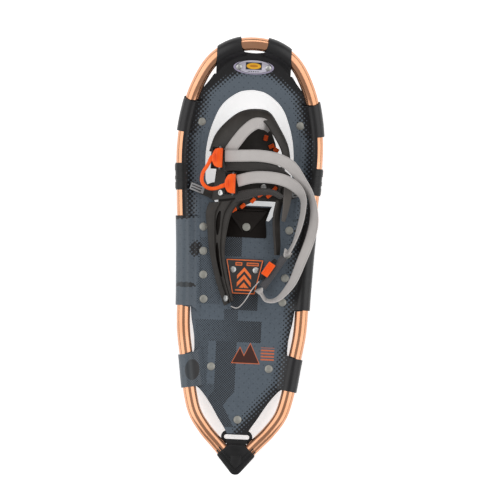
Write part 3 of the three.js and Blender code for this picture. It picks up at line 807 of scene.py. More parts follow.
def deck_wrap(low, high, side, whole=True):
    """One tab wrapped round the tube, or a lip that only lies on top of it."""
    section = wrap_section(whole)
    first, last = path_at(low), path_at(high)
    steps = max(4, round((high - low) / RAIL_STEP))
    across = len(section) - 1

    def place(u, v):
        point, _, inward, up = path_frame(round(first + (last - first) * u), side)
        x, y = section[round(v * across)]
        return point + inward * x + up * y

    piece = grid(steps, across, place)
    if side < 0:
        edit(piece, flip)
    return thicken(piece, WRAP_T, even=True)


FILLETS = ((-142, 1), (-73, -1), (222, 1))  # a tab's end, and the way along the rail to its bare edge


def deck_fillet(start, way, side, length=9):
    """The sheet's hollow corner over the tube, between a tab's end and the bare edge beside it."""
    parts = 40
    section = spaced([(x, y, 0) for x, y in wrap_section(False)], parts)
    first, last = path_at(start), path_at(start + way * length)

    def place(u, v):
        station = first + (last - first) * u
        index = int(station)
        reach = v * (0.12 + 0.88 * (1 - math.sqrt(1 - (1 - u) ** 2))) * parts
        k = min(int(reach), parts - 1)
        x, y, _ = section[k].lerp(section[k + 1], reach - k)
        spots = []
        for step in (index, index + 1):
            point, _, inward, up = path_frame(step, side)
            spots.append(point + inward * x + up * y)
        return spots[0].lerp(spots[1], station - index)

    piece = grid(12, 16, place)
    if side * way < 0:
        edit(piece, flip)
    return thicken(piece, WRAP_T, even=True)


def deck():
    parts = [deck_sheet()]
    parts += [deck_fillet(start, way, side) for start, way in FILLETS for side in (1, -1)]
    for low, high in TABS[:-1]:
        parts += [deck_wrap(low, high, side) for side in (1, -1)]
    for side in (1, -1):
        tab = plate([(side * x, y) for x, y in NOSE_TAB], 0, CUTTER_H)
        parts.append(boolean(deck_wrap(262, 302.9, side), tab, "INTERSECT"))
    parts += [deck_wrap(LIP[0] - 1, LIP[1] + 1, side, whole=False) for side in (1, -1)]
    piece = join(*parts)
    mesh = piece.data
    spots = np.array([v.co for v in mesh.vertices]) / MM
    rail = np.array([(p.y, p.x) for p in PATH[:HALF + 1]])
    side = np.where(abs(spots[:, 0]) < np.interp(spots[:, 1], *rail.T), 1, -1)
    rim = distance_to(flat_curve(mirrored(OPENING[:13]), 240), spots[:, :2])
    for name, values in (("inset", distance_to(PATH, spots[:, :2]) * side), ("rim", rim)):
        layer = mesh.attributes.new(name, "FLOAT", "POINT")
        layer.data.foreach_set("value", values.astype(np.float32))
    hand_in(piece, "deck_sheet", DECK, "root", ["deck"], angle=40)


# ---------------------------------------------------------------- fixed to the frame and deck
def on_deck(x, y):
    """Stands a piece made round the origin on the middle of the deck."""
    return shift(x, y, DECK_Z + rise(y)) @ Matrix.Rotation(slope(y), 4, "X")


def pair(name, x, y, above=0.9, below=0.9):
    return [(f"{name}_right", x, y, above, below), (f"{name}_left", -x, y, above, below)]


DECK_RIVETS = [
    *pair("rivet_nose", 21, 271, 2.8), *pair("rivet_front", 70.5, 190.2),
    *pair("rivet_middle_1", 61.5, 40), *pair("rivet_middle_2", 60, 5.4),
    *pair("rivet_middle_3", 58.5, -28.5), *pair("rivet_middle_4", 56.5, -63.2),
    *pair("rivet_rear", 41.3, -159.2), *pair("rivet_heel", 16.3, -19.2, 3.2, 3.2),
    ("rivet_tongue", 0, 42.3, 4.1, 0.9), ("rivet_tail", 0, -233.7, 0.9, 3.7),
]


def rivet(above, below, head=5.0):
    """A domed head with a pressed rim, a shank, and a set tail."""
    top, bottom = above + GAP, -below - GAP
    k = head / 5
    return turned([
        (0, bottom - 1.0), (1.4, bottom - 1.0), (1.7, bottom - 1.4), (3.4, bottom - 1.4), (4, bottom - 0.9),
        (4, bottom), (2.5, bottom), (2.5, top), (4.7 * k, top), (5 * k, top + 0.3), (4.95 * k, top + 0.75),
        (4.5 * k, top + 1.0), (4.1 * k, top + 1.0), (3.9 * k, top + 1.15), (3.2 * k, top + 1.4),
        (2.4 * k, top + 1.52), (1.2 * k, top + 1.58), (0, top + 1.6),
    ])


def deck_rivets():
    for name, x, y, above, below in DECK_RIVETS:
        bright = "nose" in name or "heel" in name
        head, finish = (4.4, CHROME) if bright else (5.7, RIVET)
        dome = moved(rivet(above, below, head), on_deck(x, y))
        hand_in(dome, f"{name}_head", finish, "root", [name])


BADGE_Y, BADGE_HALF = 271, (29, 11)


def badge_finish():
    """Oval badge: lilac-silver rim and a dark line round a pale plate with a plain amber oval on black."""
    f = Finish("badge_print", Metallic=0.35, Coat_Weight=0.4)
    x, y, _ = f.parts(f.place())
    y = y - BADGE_Y
    reach = oval(x, y, 0, 0, *BADGE_HALF).math("SQRT")
    line = reach.between(0.83, 0.875, 0.012)
    centre = x.between(-11.5, 11.5, 0.2) * y.between(-4.2, 6, 0.2)
    amber = oval(x, y, 0, 0.9, 10.2, 4.3).ramp(1.06, 0.96)
    core = oval(x, y, 0, 0.9, 6, 1.7).ramp(1.08, 0.92)
    dashes = x.between(-9, 9) * y.between(-7.6, -6.3, 0.15) * (0.5 + x.wave(3.2) * 0.5).ramp(0.4, 0.5)
    brushed = f.noise(1.0, 3.0, f.stretched(f.place(), 60, 3000))
    silver = f.mix((0.44, 0.41, 0.50), (0.66, 0.64, 0.72), brushed)
    rim = f.mix(silver, (0.38, 0.34, 0.47), reach.ramp(0.86, 0.92))
    shade = f.mix(rim, (0.02, 0.02, 0.025), line.largest(centre).largest(dashes))
    shade = f.mix(shade, (0.90, 0.46, 0.02), amber * centre)
    shade = f.mix(shade, (0.50, 0.16, 0.01), core * centre * 0.8)
    return f.done(shade, 0.25 + brushed * 0.15, brushed, 0.02, 0.4)


def nose_badge():
    wide, high = BADGE_HALF
    turns = [k / 48 * 2 * math.pi for k in range(48)]
    badge = plate([(wide * math.cos(a), high * math.sin(a)) for a in turns], 1.2, 1.6, bevel=0.45)
    sink(badge, (1.6, 0), (0.5, -0.35), reach=20)
    moved(badge, on_deck(0, BADGE_Y))
    hand_in(badge, "nose_badge_oval", badge_finish(), "root", ["nose_badge"])


HEEL_PLATE = [(27.8, -3.4), (16.8, -54.6)]


def plaque_finish():
    """Black plaque: an orange border line, two bars and three plain chevrons."""
    f = Finish("plaque_print", Coat_Weight=0.25)
    x, y, _ = f.parts(f.place())
    side = x.math("ABSOLUTE")
    half_width = 27.8 + (y + 3.4) * (11 / 51.2)
    from_edge = (half_width - side).smallest(-3.4 - y).smallest(y + 54.6)
    border = from_edge.between(1.2, 2.4, 0.15)
    bars = (x.between(-13, -3.5, 0.2).largest(x.between(3, 20, 0.2))) * y.between(-13.2, -8.6, 0.2)
    hollow = (x.between(-12, -4.5, 0.2).largest(x.between(4, 19, 0.2))) * y.between(-12.2, -9.6, 0.2)
    arrow = y + side * 1.15
    chevrons = side.ramp(10.2, 9.9) * y.ramp(-45.2, -44.8) * (
        arrow.between(-21, -15.5, 0.2).largest(arrow.between(-32, -26, 0.2))
        .largest(arrow.between(-44, -37, 0.2))
    )
    foot = side.ramp(12.2, 11.9) * y.between(-49.3, -47.2, 0.2)
    paint = border.largest(bars * (1 - hollow * 0.8)).largest(chevrons).largest(foot)
    cloud = f.noise(240, 4.0)
    chips = f.noise(900, 3.0).ramp(0.68, 0.72)
    shade = f.mix((0.012, 0.011, 0.012), (0.020, 0.018, 0.018), cloud)
    shade = f.mix(shade, (0.95, 0.185, 0.028), paint * (1 - chips * 0.7))
    fine = f.noise(1600, 2.0)
    return f.done(shade, 0.34 + cloud * 0.16, fine + paint * 1.5, 0.04, 0.6)


def heel_plaque():
    shape = plate(rounded(mirrored(HEEL_PLATE), 5.5, 8), DECK_Z + 1.2, 2, bevel=0.5)
    sink(shape, (0.6, -0.2))
    hand_in(shape, "heel_plaque_plate", plaque_finish(), "root", ["heel_plaque"])


CAP_HALF = 11
RING_Y, RING_W, RING_H, RING_T = -258.5, 45, 19.5, 2.5


def stadium(width, height, y, steps=14):
    half = height / 2
    right = [
        (width / 2 - half + half * math.cos(a), y + half * math.sin(a))
        for a in (-math.pi / 2 + math.pi * k / steps for k in range(steps + 1))
    ]
    return mirrored(right)


def v_band(offset, width):
    """Half of a V that runs parallel to the cap's two outer edges."""
    tip = -309.5 + offset * 1.37
    reach = 28.5 - offset * 0.55
    run = reach * math.tan(math.pi / 2 - ARM_ANGLE)
    thick = width * 1.4
    upper = (reach - width * 0.7, tip + run + width * 0.72)
    return [(0, tip), (reach, tip + run), upper, (0, tip + thick)]


def tail_cap():
    arm = Vector((math.sin(ARM_ANGLE), math.cos(ARM_ANGLE)))
    across = Vector((arm.y, -arm.x))
    end = Vector(ARM_END) + arm * 8.5
    outer, inner = end + across * CAP_HALF, end - across * CAP_HALF
    outline = mirrored([(2.2, -312.6), (5.5, -311.2), tuple(outer), tuple(inner)])
    cap = plate(outline, DECK_Z - CAP_HALF, 2 * CAP_HALF, bevel=2.6, segments=4)
    for side in (1, -1):
        way = Vector((side * arm.x, arm.y, 0))
        start = Vector((side * ARM_END[0], ARM_END[1], DECK_Z)) - way * GAP
        boolean(cap, rod([start, start + way * 60], TUBE_R + GAP, 32))
    top = DECK_Z + CAP_HALF
    for offset in (0, 5.6):
        half = v_band(offset, 2.2)
        ridge = plate([*half, *[(-x, y) for x, y in reversed(half[1:-1])]], top - 0.5, 1.9, bevel=0.7)
        cap = join(cap, ridge)
    shield = [(0, -303.5), (7.4, -296.2), (7.4, -284.5), (-7.4, -284.5), (-7.4, -296.2)]
    body = plate(rounded(shield, 1.4, 3), top - 0.4, 1.9, bevel=0.6)
    bottom = DECK_Z - DECK_T / 2 - GAP - RING_T
    ring = plate(stadium(RING_W, RING_H, RING_Y), bottom, RING_T + 0.2, bevel=1.0, segments=3)
    boolean(ring, plate(stadium(36, 6.3, RING_Y), 0, 60))
    bridge = plate(mirrored([(15, -263), (12.5, -277)]), bottom, 3.5, bevel=0.7)
    neck = plate(mirrored([(15.35, -252), (15.35, -229), (13.5, -227.4)]), bottom, RING_T, bevel=0.6)
    cap = join(cap, body, ring, bridge, neck)
    hand_in(cap, "tail_cap_moulding", PLASTIC, "root", ["tail_cap"], angle=30)


def rail_band(low, high, side, inner, thickness, opening=70):
    """A band round one rail, open on its inner side, between two places along it."""
    first, last = path_at(low), path_at(high)
    steps = max(3, round((high - low) / RAIL_STEP))
    start = math.radians(opening)
    sweep = 2 * math.pi - 2 * start

    def place(u, v):
        point, _, inward, up = path_frame(round(first + (last - first) * u), side)
        angle = start + sweep * v
        reach = inner + thickness - 1.2 * max(-math.cos(angle), 0)
        return point + (inward * math.cos(angle) + up * math.sin(angle)) * reach

    piece = grid(steps, 36, place)
    if side < 0:
        edit(piece, flip)
    return soften(thicken(piece, thickness), 0.35, angle=60)


SLEEVE_BANDS = ((92.5, 102), (105.5, 112), (119, 128.5))


def rail_sleeves():
    for name, side in SIDES.items():
        bands = [rail_band(low, high, side, 11.1, 0.8, 64) for low, high in SLEEVE_BANDS]
        sleeve = join(rail_band(91, 130, side, 10.9, 0.6), *bands)
        hand_in(sleeve, f"sleeve_{name}", PLASTIC, "root", [f"rail_sleeve_{name}"], angle=30)


def label_finish():
    """Pale woven label with plain bars."""
    f = Finish("strap_label")
    u, v, _ = f.parts(f.flat_place())
    weave = lattice(u, v, 0.9)
    bars = u.between(2.0, 18, 0.2) * (v.between(2.2, 4.0, 0.2).largest(v.between(6.0, 7.6, 0.2)))
    tone = f.noise(300, 4.0)
    shade = f.mix((0.26, 0.26, 0.265), (0.37, 0.37, 0.375), weave * 0.4 + tone * 0.6)
    shade = f.mix(shade, (0.03, 0.03, 0.032), bars)
    return f.done(shade, 0.7 + tone * 0.15, weave, 0.15, 0.6)


# the suspension strap from its middle out: x, y, z and half its width
STRAP = [
    (6, 92, 33, 12), (30, 92, 33, 12), (50, 92, 33, 12), (57, 92, 33, 9.5), (63, 91.6, 34, 7),
    (70, 93.4, 37.6, 5.8), (77, 96, 40.2, 5.6), (82.5, 97.6, 41, 5.6),
]


def suspension():
    """One rubber strap a side, from inside the sleeve to the binding's middle, where it is clamped."""
    label = label_finish()
    for name, side in SIDES.items():
        low = [(side * x, y - half, z) for x, y, z, half in STRAP]
        high = [(side * x, y + half, z) for x, y, z, half in STRAP]
        low, high = (low, high) if side > 0 else (low[::-1], high[::-1])
        strap = strip(low, high, 3, 60, 8, 0, 0.7)
        for share in (0.2, 0.8):
            strap = join(strap, bead(between(low, high, share, 1.6), 0.7, 40))
        hand_in(strap, f"suspension_strap_{name}_rubber", RUBBER, None)
        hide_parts(f"suspension_strap_{name}", *(["suspension_core"] if side > 0 else []))
        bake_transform(strap)
        patch = [(side * x, y, z + 2.1, 0) for x, y, z, _ in STRAP[-4:]]
        patch = patch if side > 0 else patch[::-1]
        tag = tape(patch, 24, 10, 0.7, crown=0.2, rounding=0.2)
        hand_in(tag, f"strap_label_{name}", label, "root")
    apron = rounded(mirrored([(29, 27), (28.6, 38), (27, 50), (34, 71)])[::-1], 2.5, 4)
    apron = [(x, y + (1.5 * (1 - (x / 29) ** 2) if y < 30 else 0)) for x, y in apron]
    hand_in(plate(apron[::-1], 30.2, 1, bevel=0.3), "apron_sheet", APRON, "root", ["deck_apron"])
    arms = rounded(mirrored([(5, 34), (9, 40), (30, 66), (20, 68)]) + [(0, 50)], 2.2, 4)
    tongue = plate(arms, 31.5, 1.6, bevel=0.5)
    sink(tongue, (1.2, -0.4))
    hand_in(tongue, "tongue_moulding", TONGUE, "root", ["suspension_tongue"])


def cad_finish(name, material):
    """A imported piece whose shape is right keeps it, with a better finish."""
    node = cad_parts[name]
    node.data.materials.clear()
    node.data.materials.append(material)


# ---------------------------------------------------------------- the binding
def footbed():
    edge = [
        (-40, 58), (-28, 60), (-8, 70), (10, 80), (28, 90), (42, 99), (43, 110), (41, 140), (36, 164),
        (28, 184), (12, 194), (-6, 194), (-26, 182), (-38, 164), (-43, 140), (-43, 90),
    ]
    bed = plate(rounded(edge, 5, 4), 34.8, 3, bevel=0.8)
    for y in (112, 122, 132, 142, 152):
        bed = join(bed, rod([(-36, y, 37.7), (36, y, 37.7)], 0.9, 10))
    hand_in(bed, "footbed_plate", RUBBER, "binding", ["footbed"])


NUBS_REAR = [(-19, 66), (-6.6, 72), (7.7, 80.5), (17.5, 89), (30.3, 88.4), (38, 98)]
NUBS_FRONT = [(22, 170.5), (30.5, 159), (37.5, 154)]


def grip_nub(x, y, yaw, length=8.5, width=5.5):
    """A soft orange stud with a cleft top."""
    nub = block((length, width, 4.2), 1.1)
    sink(nub, (0.9, 0), (0.4, -0.6))
    return moved(nub, shift(x, y, FOOTBED_TOP + 1.9) @ turn(yaw, "Z"))


def grips():
    rear = join(*[grip_nub(x, y, 32 + 9 * (i % 3)) for i, (x, y) in enumerate(NUBS_REAR)])
    hand_in(rear, "grip_studs_rear", BRIGHT, "binding", ["grip_rear"])
    front = join(*[grip_nub(x, y, 80 - 55 * i, 8, 6) for i, (x, y) in enumerate(NUBS_FRONT)])
    hand_in(front, "grip_studs_front", BRIGHT, "binding", ["grip_front"])


def bead(edge, radius, steps, squash=0.8):
    """A rounded rim along a moulding's edge."""
    return rod(curve_points(edge, steps), radius, 10, squash)


def between(edge_a, edge_b, share, lift=0.0):
    return [
        tuple(Vector(a).lerp(Vector(b), share) + Vector((0, 0, lift))) for a, b in zip(edge_a, edge_b)
    ]


def moulding(inner, outer, thickness, steps, rim=1.6, crown=1.2):
    """A curved urethane panel with a rounded rim on both long edges."""
    panel = strip(inner, outer, thickness, steps, 10, crown, 0.6)
    return join(panel, bead(inner, rim, steps), bead(outer, rim, steps))


TOE_OUTER = [
    (-57, 148, 41), (-49, 172, 49), (-32, 193, 57), (-14, 206, 62), (6, 210, 65), (24, 207, 62),
    (39, 187, 54), (53, 161, 46), (58, 138, 41),
]
TOE_INNER = [
    (-36, 146, 64), (-31, 160, 70), (-20, 176, 75), (-6, 188, 79), (8, 195, 81), (19, 193, 79),
    (31, 178, 70), (45, 155, 60), (50, 136, 53),
]
ARM_LEFT_IN = [(-11, 81, 60), (-23, 62, 56), (-29, 35, 52), (-31, 5, 48), (-26, -27, 47), (-15, -64, 46)]
ARM_LEFT_OUT = [(-53, 75, 40), (-57, 60, 39), (-54, 38, 38), (-50, 8, 37), (-39, -34, 36), (-25, -71, 36)]
ARM_RIGHT_IN = [(42, 82, 54), (38.5, 60, 52), (39.5, 38, 50), (42, 18, 48), (43, 4, 46)]
ARM_RIGHT_OUT = [(49, 81, 39), (46, 60, 38), (47, 38, 37), (48.5, 18, 36), (48, 4, 35.5)]


def long_slot(inner, outer, first, last, half):
    """A tall cutter whose outline is a slot along a panel, between two shares of its length."""
    a, b = curve_points(inner, 40), curve_points(outer, 40)
    middle = [p.lerp(q, 0.47) for p, q in zip(a, b)][round(first * 40):round(last * 40) + 1]
    left, right = [], []
    for i, point in enumerate(middle):
        ahead = middle[min(i + 1, len(middle) - 1)] - middle[max(i - 1, 0)]
        side = Vector((-ahead.y, ahead.x, 0)).normalized()
        share = i / (len(middle) - 1)
        wide = half * math.sin(math.pi * (0.06 + 0.88 * share)) ** 0.6
        left.append(tuple((point + side * wide).xy))
        right.append(tuple((point - side * wide).xy))
    return plate(left + right[::-1], 0, CUTTER_H)


# each wing: its upper and its lower edge, its rims' radius and its crown
WINGS = {
    "left": (
        [(-36, 139, 57), (-30, 118, 62), (-20, 100, 62), (-12, 84, 60)],
        [(-44, 136, 40), (-46, 115, 40), (-48, 95, 41), (-50, 78, 40)], 1.5, 1.2,
    ),
    "right": (
        [(46, 131, 58), (45, 114, 62), (44, 98, 62), (42, 87, 58)],
        [(50, 130, 42), (49, 112, 42), (48, 96, 42), (45, 84, 41)], 1.3, -0.8,
    ),
}


def harness():
    toe = moulding(TOE_INNER, TOE_OUTER, 2.4, 60, 1.3, 2.2)
    for share in (0.30, 0.62):
        toe = join(toe, bead(between(TOE_INNER, TOE_OUTER, share, 1.4)[:6], 0.8, 40))
    hand_in(toe, "toe_moulding", RUBBER, "binding", ["toe_piece"])

    for name, (upper, lower, rim, crown) in WINGS.items():
        wing = moulding(upper, lower, 3, 30, rim, crown)
        hand_in(wing, f"wing_{name}_moulding", RUBBER, "binding", [f"wing_{name}"])

    arm = strip(ARM_LEFT_IN, ARM_LEFT_OUT, 3, 64, 12, 1.8, 0.6)
    for first, last, half in ((0.17, 0.44, 3.0), (0.52, 0.80, 2.4)):
        boolean(arm, long_slot(ARM_LEFT_IN, ARM_LEFT_OUT, first, last, half))
    arm = join(arm, bead(ARM_LEFT_IN, 1.9, 64), bead(ARM_LEFT_OUT, 1.9, 64))
    for share in (0.30, 0.68):
        arm = join(arm, bead(between(ARM_LEFT_IN, ARM_LEFT_OUT, share, 2.2), 1.0, 64))
    hand_in(arm, "heel_arm_left_moulding", RUBBER, "binding", ["heel_arm_left"])
    # painted shade: a dark sheet just under the left arm stands in for the shadow seen through its slots
    edges = [between(ARM_LEFT_IN, ARM_LEFT_OUT, share, -1.8)[:-1] for share in (0.22, 0.76)]
    slot_shade_sheet = strip(*edges, 0.8, 50, 6, 1.4, 0.2)
    hand_in(slot_shade_sheet, "heel_arm_left_slot_shade", APRON, "binding")
    arm = moulding(ARM_RIGHT_IN, ARM_RIGHT_OUT, 3, 40, 1.6, -1.0)
    hand_in(arm, "heel_arm_right_moulding", RUBBER, "binding", ["heel_arm_right"])


STRAP_FRONT = [
    (-35, 142, 76, 0), (-14, 143, 86, 0), (17, 144, 92, 0), (42, 140, 89, 0), (60, 131, 80, 8),
    (77, 110, 67, 40), (89, 93, 59, 58), (95, 73, 55, 55), (96, 52, 53, 42), (92, 30, 53, 38),
    (81, -3, 53, 40), (67, -38, 51, 52), (47, -60, 48, 70), (33, -61, 47, 75), (25, -51, 46, 75),
]
STRAP_REAR = [
    (-16, 107, 76, 0), (6, 113, 84, 0), (31, 114, 85, 0), (53, 110, 78, 5), (70, 100, 65, 30),
    (79, 87, 57, 58), (80, 70, 52, 66), (76, 46, 49, 68), (68, 20, 47, 78), (61, 7, 46, 75),
]


TOE_TAPE = [
    (-30, 147, 72, -15), (-19, 164, 81, -18), (-6, 180.5, 87, -20), (6, 189.5, 88, -12), (16, 190, 79, 12),
    (23, 187, 67, 35), (28, 183, 57, 45),
]


def straps():
    hand_in(tape(STRAP_FRONT, 200), "strap_front_tape", WEBBING, "binding", ["strap_front"])
    hand_in(tape(STRAP_REAR, 140), "strap_rear_tape", WEBBING, "binding", ["strap_rear"])
    hand_in(tape(TOE_TAPE, 60), "toe_tape", WEBBING, "binding", ["toe_webbing"])
    # the inner instep tape is real webbing, with painted shade from the darker copy of the tape finish
    near = [(50.5, 101, 57), (50.5, 88, 52), (50.5, 72, 48), (49.5, 53, 44)]
    far = [(63.5, 103, 52), (62.5, 88, 47), (59.5, 70, 44.5), (54.5, 52, 42)]
    inner = strip(near, far, 1.6, 40, 8, 0.4, 0.4)
    hand_in(inner, "instep_tape_inner", SHADED_WEBBING, "binding")


PADS = {
    "front": (
        [(-33, 134, 70), (-8, 136, 80), (16, 136, 86), (40, 131, 82), (60, 118, 68)],
        [(-36, 121, 66), (-12, 122, 75), (14, 121, 79), (38, 116, 73), (55, 104, 60)],
    ),
    "rear": (
        [(-14, 92, 70), (4, 96, 76), (22, 98, 78), (38, 96, 74), (52, 88, 62)],
        [(-20, 76, 62), (0, 82, 67), (18, 88, 70), (34, 89, 68), (47, 84, 58)],
    ),
}


def pads():
    cover = pad_finish()
    for name, (upper, lower) in PADS.items():
        pad = soften(strip(upper, lower, 2.0, 48, 12, 1.0), 0.8, 3)
        seams = [bead(between(upper, lower, share, 0.9), 0.55, 48) for share in (0.14, 0.86)]
        pad = join(pad, *seams)
        hand_in(pad, f"pad_{name}_cushion", cover, "binding", [f"pad_{name}"])


def pad_finish():
    """Dark backing cloth over thin foam."""
    f = Finish("pad_cloth", Sheen_Weight=0.25, Sheen_Roughness=0.5)
    u, v, _ = f.parts(f.flat_place())
    weave = lattice(u + v, u - v, 1.0)
    tone = f.noise(70, 5.0)
    shade = f.mix((0.018, 0.015, 0.014), (0.040, 0.034, 0.031), weave * 0.4 + tone * 0.6)
    return f.done(shade, 0.66 + tone * 0.2, weave + tone, 0.2, 0.7)


BUCKLES = {"front": (-42, 139, 80, 67.5), "rear": (-22, 103, 80, 67.5)}
LEVER_LENGTH = 28


# the buckle's bars: place along it, half length, height, radius and sides
BUCKLE_BARS = ((-11, 14, 3.4, 1.3, 12), (0, 12, 2.6, 0.7, 8), (2.4, 12, 2.6, 0.7, 8))


def buckle_base(x, y, base):
    """Floor and two cheeks that carry the lever's pin."""
    floor = moved(block((18, 32, 2.4), 0.7), shift(x - 4, y, base + 1.2))
    side = rounded([(-13, 0), (5, 0), (5, 2), (4, 15.5), (-4, 15.5), (-6, 4), (-13, 3)], 1.5, 4)
    for at in (-15.2, 15.2):
        cheek = plate(side, -0.75, 1.5, bevel=0.35)
        moved(cheek, shift(x, y + at, base) @ turn(90, "X"))
        floor = join(floor, cheek)
    bars = [
        rod([(x + at, y - half, base + up), (x + at, y + half, base + up)], radius, sides)
        for at, half, up, radius, sides in BUCKLE_BARS
    ]
    return join(floor, *bars)


def cam_lever(place):
    """Cam lever: round eye, hollowed thumb pad, narrowed free end, grip lines."""
    eye = [(3.6 * math.cos(a), 3.6 * math.sin(a)) for a in (math.radians(d) for d in range(-100, 101, 10))]
    side = eye + [(-4.5, 2.9), (-8, 3.2), (-10.8, 2.6), (-11.4, 0.6), (-10.6, -1.4), (-7, -1.6), (-3, -2.4)]
    lever = plate(side, -LEVER_LENGTH / 2, LEVER_LENGTH, bevel=0.7, segments=2)
    moved(lever, turn(90, "X"))

    def cut_across():
        bpy.ops.mesh.select_all(action="SELECT")
        for y in (-10, -5, 0, 5, 10):
            bpy.ops.mesh.bisect(plane_co=(0, y * MM, 0), plane_no=(0, 1, 0))
            bpy.ops.mesh.select_all(action="SELECT")

    edit(lever, cut_across)
    for vertex in lever.data.vertices:
        x, y, z = vertex.co / MM
        back = min(max((-x - 1) / 9, 0), 1)
        waist = min(abs(y) / 14, 1)
        vertex.co.y *= 1 - 0.10 * back ** 2
        vertex.co.x += (waist ** 2 * 5.0 - 0.8) * back * MM
        vertex.co.z += back * 1.6 * MM * (1 if z > 0 else 0.5)
    lines = [rod([(x, -5.5, 4.5), (x, 5.5, 4.5)], 0.5, 8) for x in (-9.4, -7.4, -5.4)]
    return moved(join(lever, *lines), shift(*place))


def buckles():
    for name, (x, y, z, base) in BUCKLES.items():
        body = buckle_base(x, y, base)
        hand_in(body, f"buckle_body_{name}", PLASTIC, "binding", [f"buckle_base_{name}"])
        profile = [(0, -16.5), (1.2, -16.5), (1.6, -16.1), (1.6, 16.1), (1.2, 16.5), (0, 16.5)]
        pin = moved(turned(profile, 20), shift(x, y, z) @ turn(90, "X"))
        hand_in(pin, f"lever_pin_{name}", CHROME, "binding", [f"buckle_pin_{name}"])
        lever = cam_lever((x, y, z))
        hand_in(lever, f"cam_lever_{name}", BRIGHT, f"{name}_lever", [f"buckle_lever_{name}"])


def release_loop():
    line = curve_points([
        (-54.5, 138, 80), (-59, 128, 80), (-65.5, 116, 79), (-66, 104, 79), (-60.5, 97, 79), (-53, 94.5, 79),
        (-45, 95.5, 79.5), (-35.5, 99.5, 80),
    ], 84)
    loop = rod(line, 2.6, 16, 0.7)
    for spot, yaw in ((line[1], 64), (line[-2], 20)):
        tab = moved(block((9, 6, 3.4), 1.2), shift(*spot) @ turn(yaw, "Z"))
        loop = join(loop, tab)
    hand_in(loop, "release_loop_pull", BRIGHT, "loop", ["release_loop"])


def pull_handle():
    start, end = Vector((56, 1.5, 44)), Vector((27, -43, 44))
    line = spaced([start, (start + end) / 2, end], 60)
    sleeve = rod(line, 5.4, 24, 0.56)
    hand_in(sleeve, "pull_handle_sleeve", HANDLE, "binding", ["pull_handle"])
    way = (end - start).normalized()
    for name, spot, sign in (("upper", start, -1), ("lower", end, 1)):
        stops = ((0.5, 44.5, 85), (5, 46, 60), (11, 45.5, 25))
        line = [(*(spot + way * sign * along)[:2], z, lean) for along, z, lean in stops]
        flare = tape(line, 16, 15, 1.4)
        hand_in(flare, f"tape_end_{name}", WEBBING, "binding")


def heel_strap():
    line = [(x, y, 43, 90) for x, y in ((-17, -72), (-8, -74), (1.5, -65), (13, -45.5), (22, -34.5))]
    heel = tape(line, 60, 13, 1.4, crown=0)
    hand_in(heel, "heel_tape", WEBBING, "binding", ["heel_webbing"])
    yaw = math.degrees(math.atan2(45, 29))
    place = shift(34, -17, 42) @ turn(yaw, "Z")
    body = block((36, 5, 12), 1.3)
    for x in (-14, -10.5, 10.5, 14):
        body = join(body, moved(block((1.6, 6, 9.5), 0.6), shift(x, 0, 0)))
    body = join(body, moved(block((24, 7.2, 3), 0.9), shift(0, 0, 4.2)))
    hand_in(moved(body, place), "heel_buckle_frame", PLASTIC, "binding", ["heel_buckle_body"])
    lever = moved(block((21, 11, 3.2), 1.1), shift(0, 0, 8.5))
    sink(lever, (1.5, 0), (0.5, -0.5))
    for x in (-5, -2.5, 0, 2.5, 5):
        lever = join(lever, rod([(x, -3.2, 9.7), (x, 3.2, 9.7)], 0.55, 8))
    hand_in(moved(lever, place), "heel_lever_thumb", BRIGHT, "heel_lever", ["heel_buckle_lever"])


def screw(radius, height):
    """A pan head with a driver recess."""
    shape = [(0, 0), (1, 0), (1, 0.35), (0.85, 0.8), (0.5, 1), (0.42, 0.97), (0.38, 0.5), (0, 0.5)]
    return turned([(r * radius, h * height) for r, h in shape], 24)


def small_hardware():
    """Bolts through the footbed, the screw behind the rear buckle, and the rivet at the left arm's tip."""
    nut = [(0, 25.9), (3.4, 25.9), (4, 26.4), (4, 28.4), (2, 28.4)]
    head = [(2, GAP), (4.5, GAP), (4.3, 1.5), (3.3, 2.2), (1.7, 2.3), (1.5, 1.2), (0, 1.2)]
    for i, x in enumerate((22, -22)):
        shank = turned([*nut, *[(r, FOOTBED_TOP + h) for r, h in head]], 24)
        bolt = moved(shank, shift(x, 100, 0))
        hand_in(bolt, f"clamp_bolt_{i + 1}", CHROME, "binding", [f"binding_bolt_{i + 1}"])
    spots = {
        "buckle_screw": ((-38.6, 89.5, 50.5), -36, 4.6, 2.2),
        "arm_tip_rivet": ((-24.5, -61, 43.2), -48, 4.8, 1.8),
    }
    for name, (spot, lean, radius, height) in spots.items():
        dome = moved(screw(radius, height), shift(*spot) @ turn(lean, "Y"))
        hand_in(dome, name, CHROME, "binding")


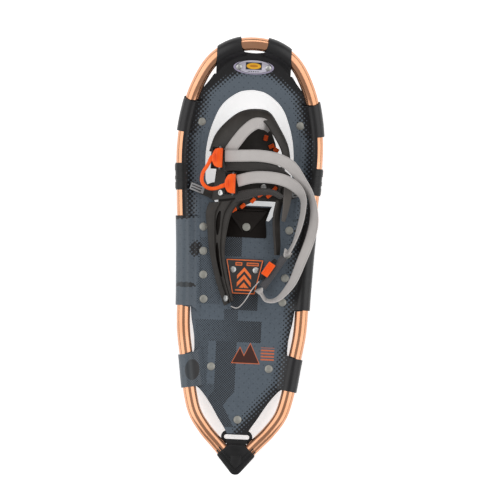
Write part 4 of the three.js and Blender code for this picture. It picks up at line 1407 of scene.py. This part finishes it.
# ---------------------------------------------------------------- studio
VIEW_WIDTH, VIEW_DISTANCE = 0.717, 12.0
VIEW_MIDDLE, VIEW_TURN = (0.0067, 0.0096), 2.65
FLOOR_GLOW, AIR_LIGHT = 0.48, 0.44
SOFTBOXES = {  # place, power and size
    "softbox_left": ((-1.7, 0.0, 1.4), 30, (3.0, 2.3)),
    "softbox_right": ((1.7, 0.0, 1.4), 30, (3.0, 2.3)),
    "softbox_front": ((0.0, 2.4, 1.5), 10, (1.8, 1.1)),
}


def studio():
    floor = added(bpy.ops.mesh.primitive_plane_add, size=14)
    floor.name = "floor"
    glow = {"Emission_Color": (1, 1, 1, 1), "Emission_Strength": FLOOR_GLOW}
    paper = Finish("pale_paper", Specular_IOR_Level=0.1, **glow)
    mottle = paper.noise(3, 2.0)
    shade = paper.mix((0.93, 0.93, 0.93), (0.95, 0.95, 0.95), mottle)
    paper.feed(Base_Color=shade, Roughness=0.85 + mottle * 0.1)
    floor.data.materials.append(paper.material)
    floor.location.z = -0.0002

    world = bpy.data.worlds.new("studio_air")
    bpy.context.scene.world = world
    world.use_nodes = True
    air = world.node_tree.nodes["Background"]
    air.inputs["Color"].default_value = (1, 1, 1, 1)
    air.inputs["Strength"].default_value = AIR_LIGHT

    for name, (place, power, size) in SOFTBOXES.items():
        lamp = bpy.data.lights.new(name, "AREA")
        lamp.shape, lamp.size, lamp.size_y, lamp.energy = "RECTANGLE", *size, power
        holder = bpy.data.objects.new(name, lamp)
        bpy.context.collection.objects.link(holder)
        holder.location = place
        holder.rotation_euler = (-Vector(place)).to_track_quat("-Z", "Y").to_euler()

    lens = bpy.data.cameras.new("overhead")
    lens.lens = lens.sensor_width * VIEW_DISTANCE / VIEW_WIDTH
    lens.clip_end = 100
    camera = bpy.data.objects.new("overhead", lens)
    bpy.context.collection.objects.link(camera)
    camera.location = (*VIEW_MIDDLE, VIEW_DISTANCE)
    camera.rotation_euler = (0, 0, math.radians(VIEW_TURN))
    bpy.context.scene.camera = camera
    bpy.context.scene.view_settings.view_transform = "Standard"


studio()
frame_tube()
deck()
deck_rivets()
nose_badge()
heel_plaque()
tail_cap()
rail_sleeves()
suspension()
cad_finish("heel_crampon", STEEL)
cad_finish("toe_crampon", STEEL)
footbed()
grips()
harness()
straps()
pads()
buckles()
release_loop()
pull_handle()
heel_strap()
small_hardware()
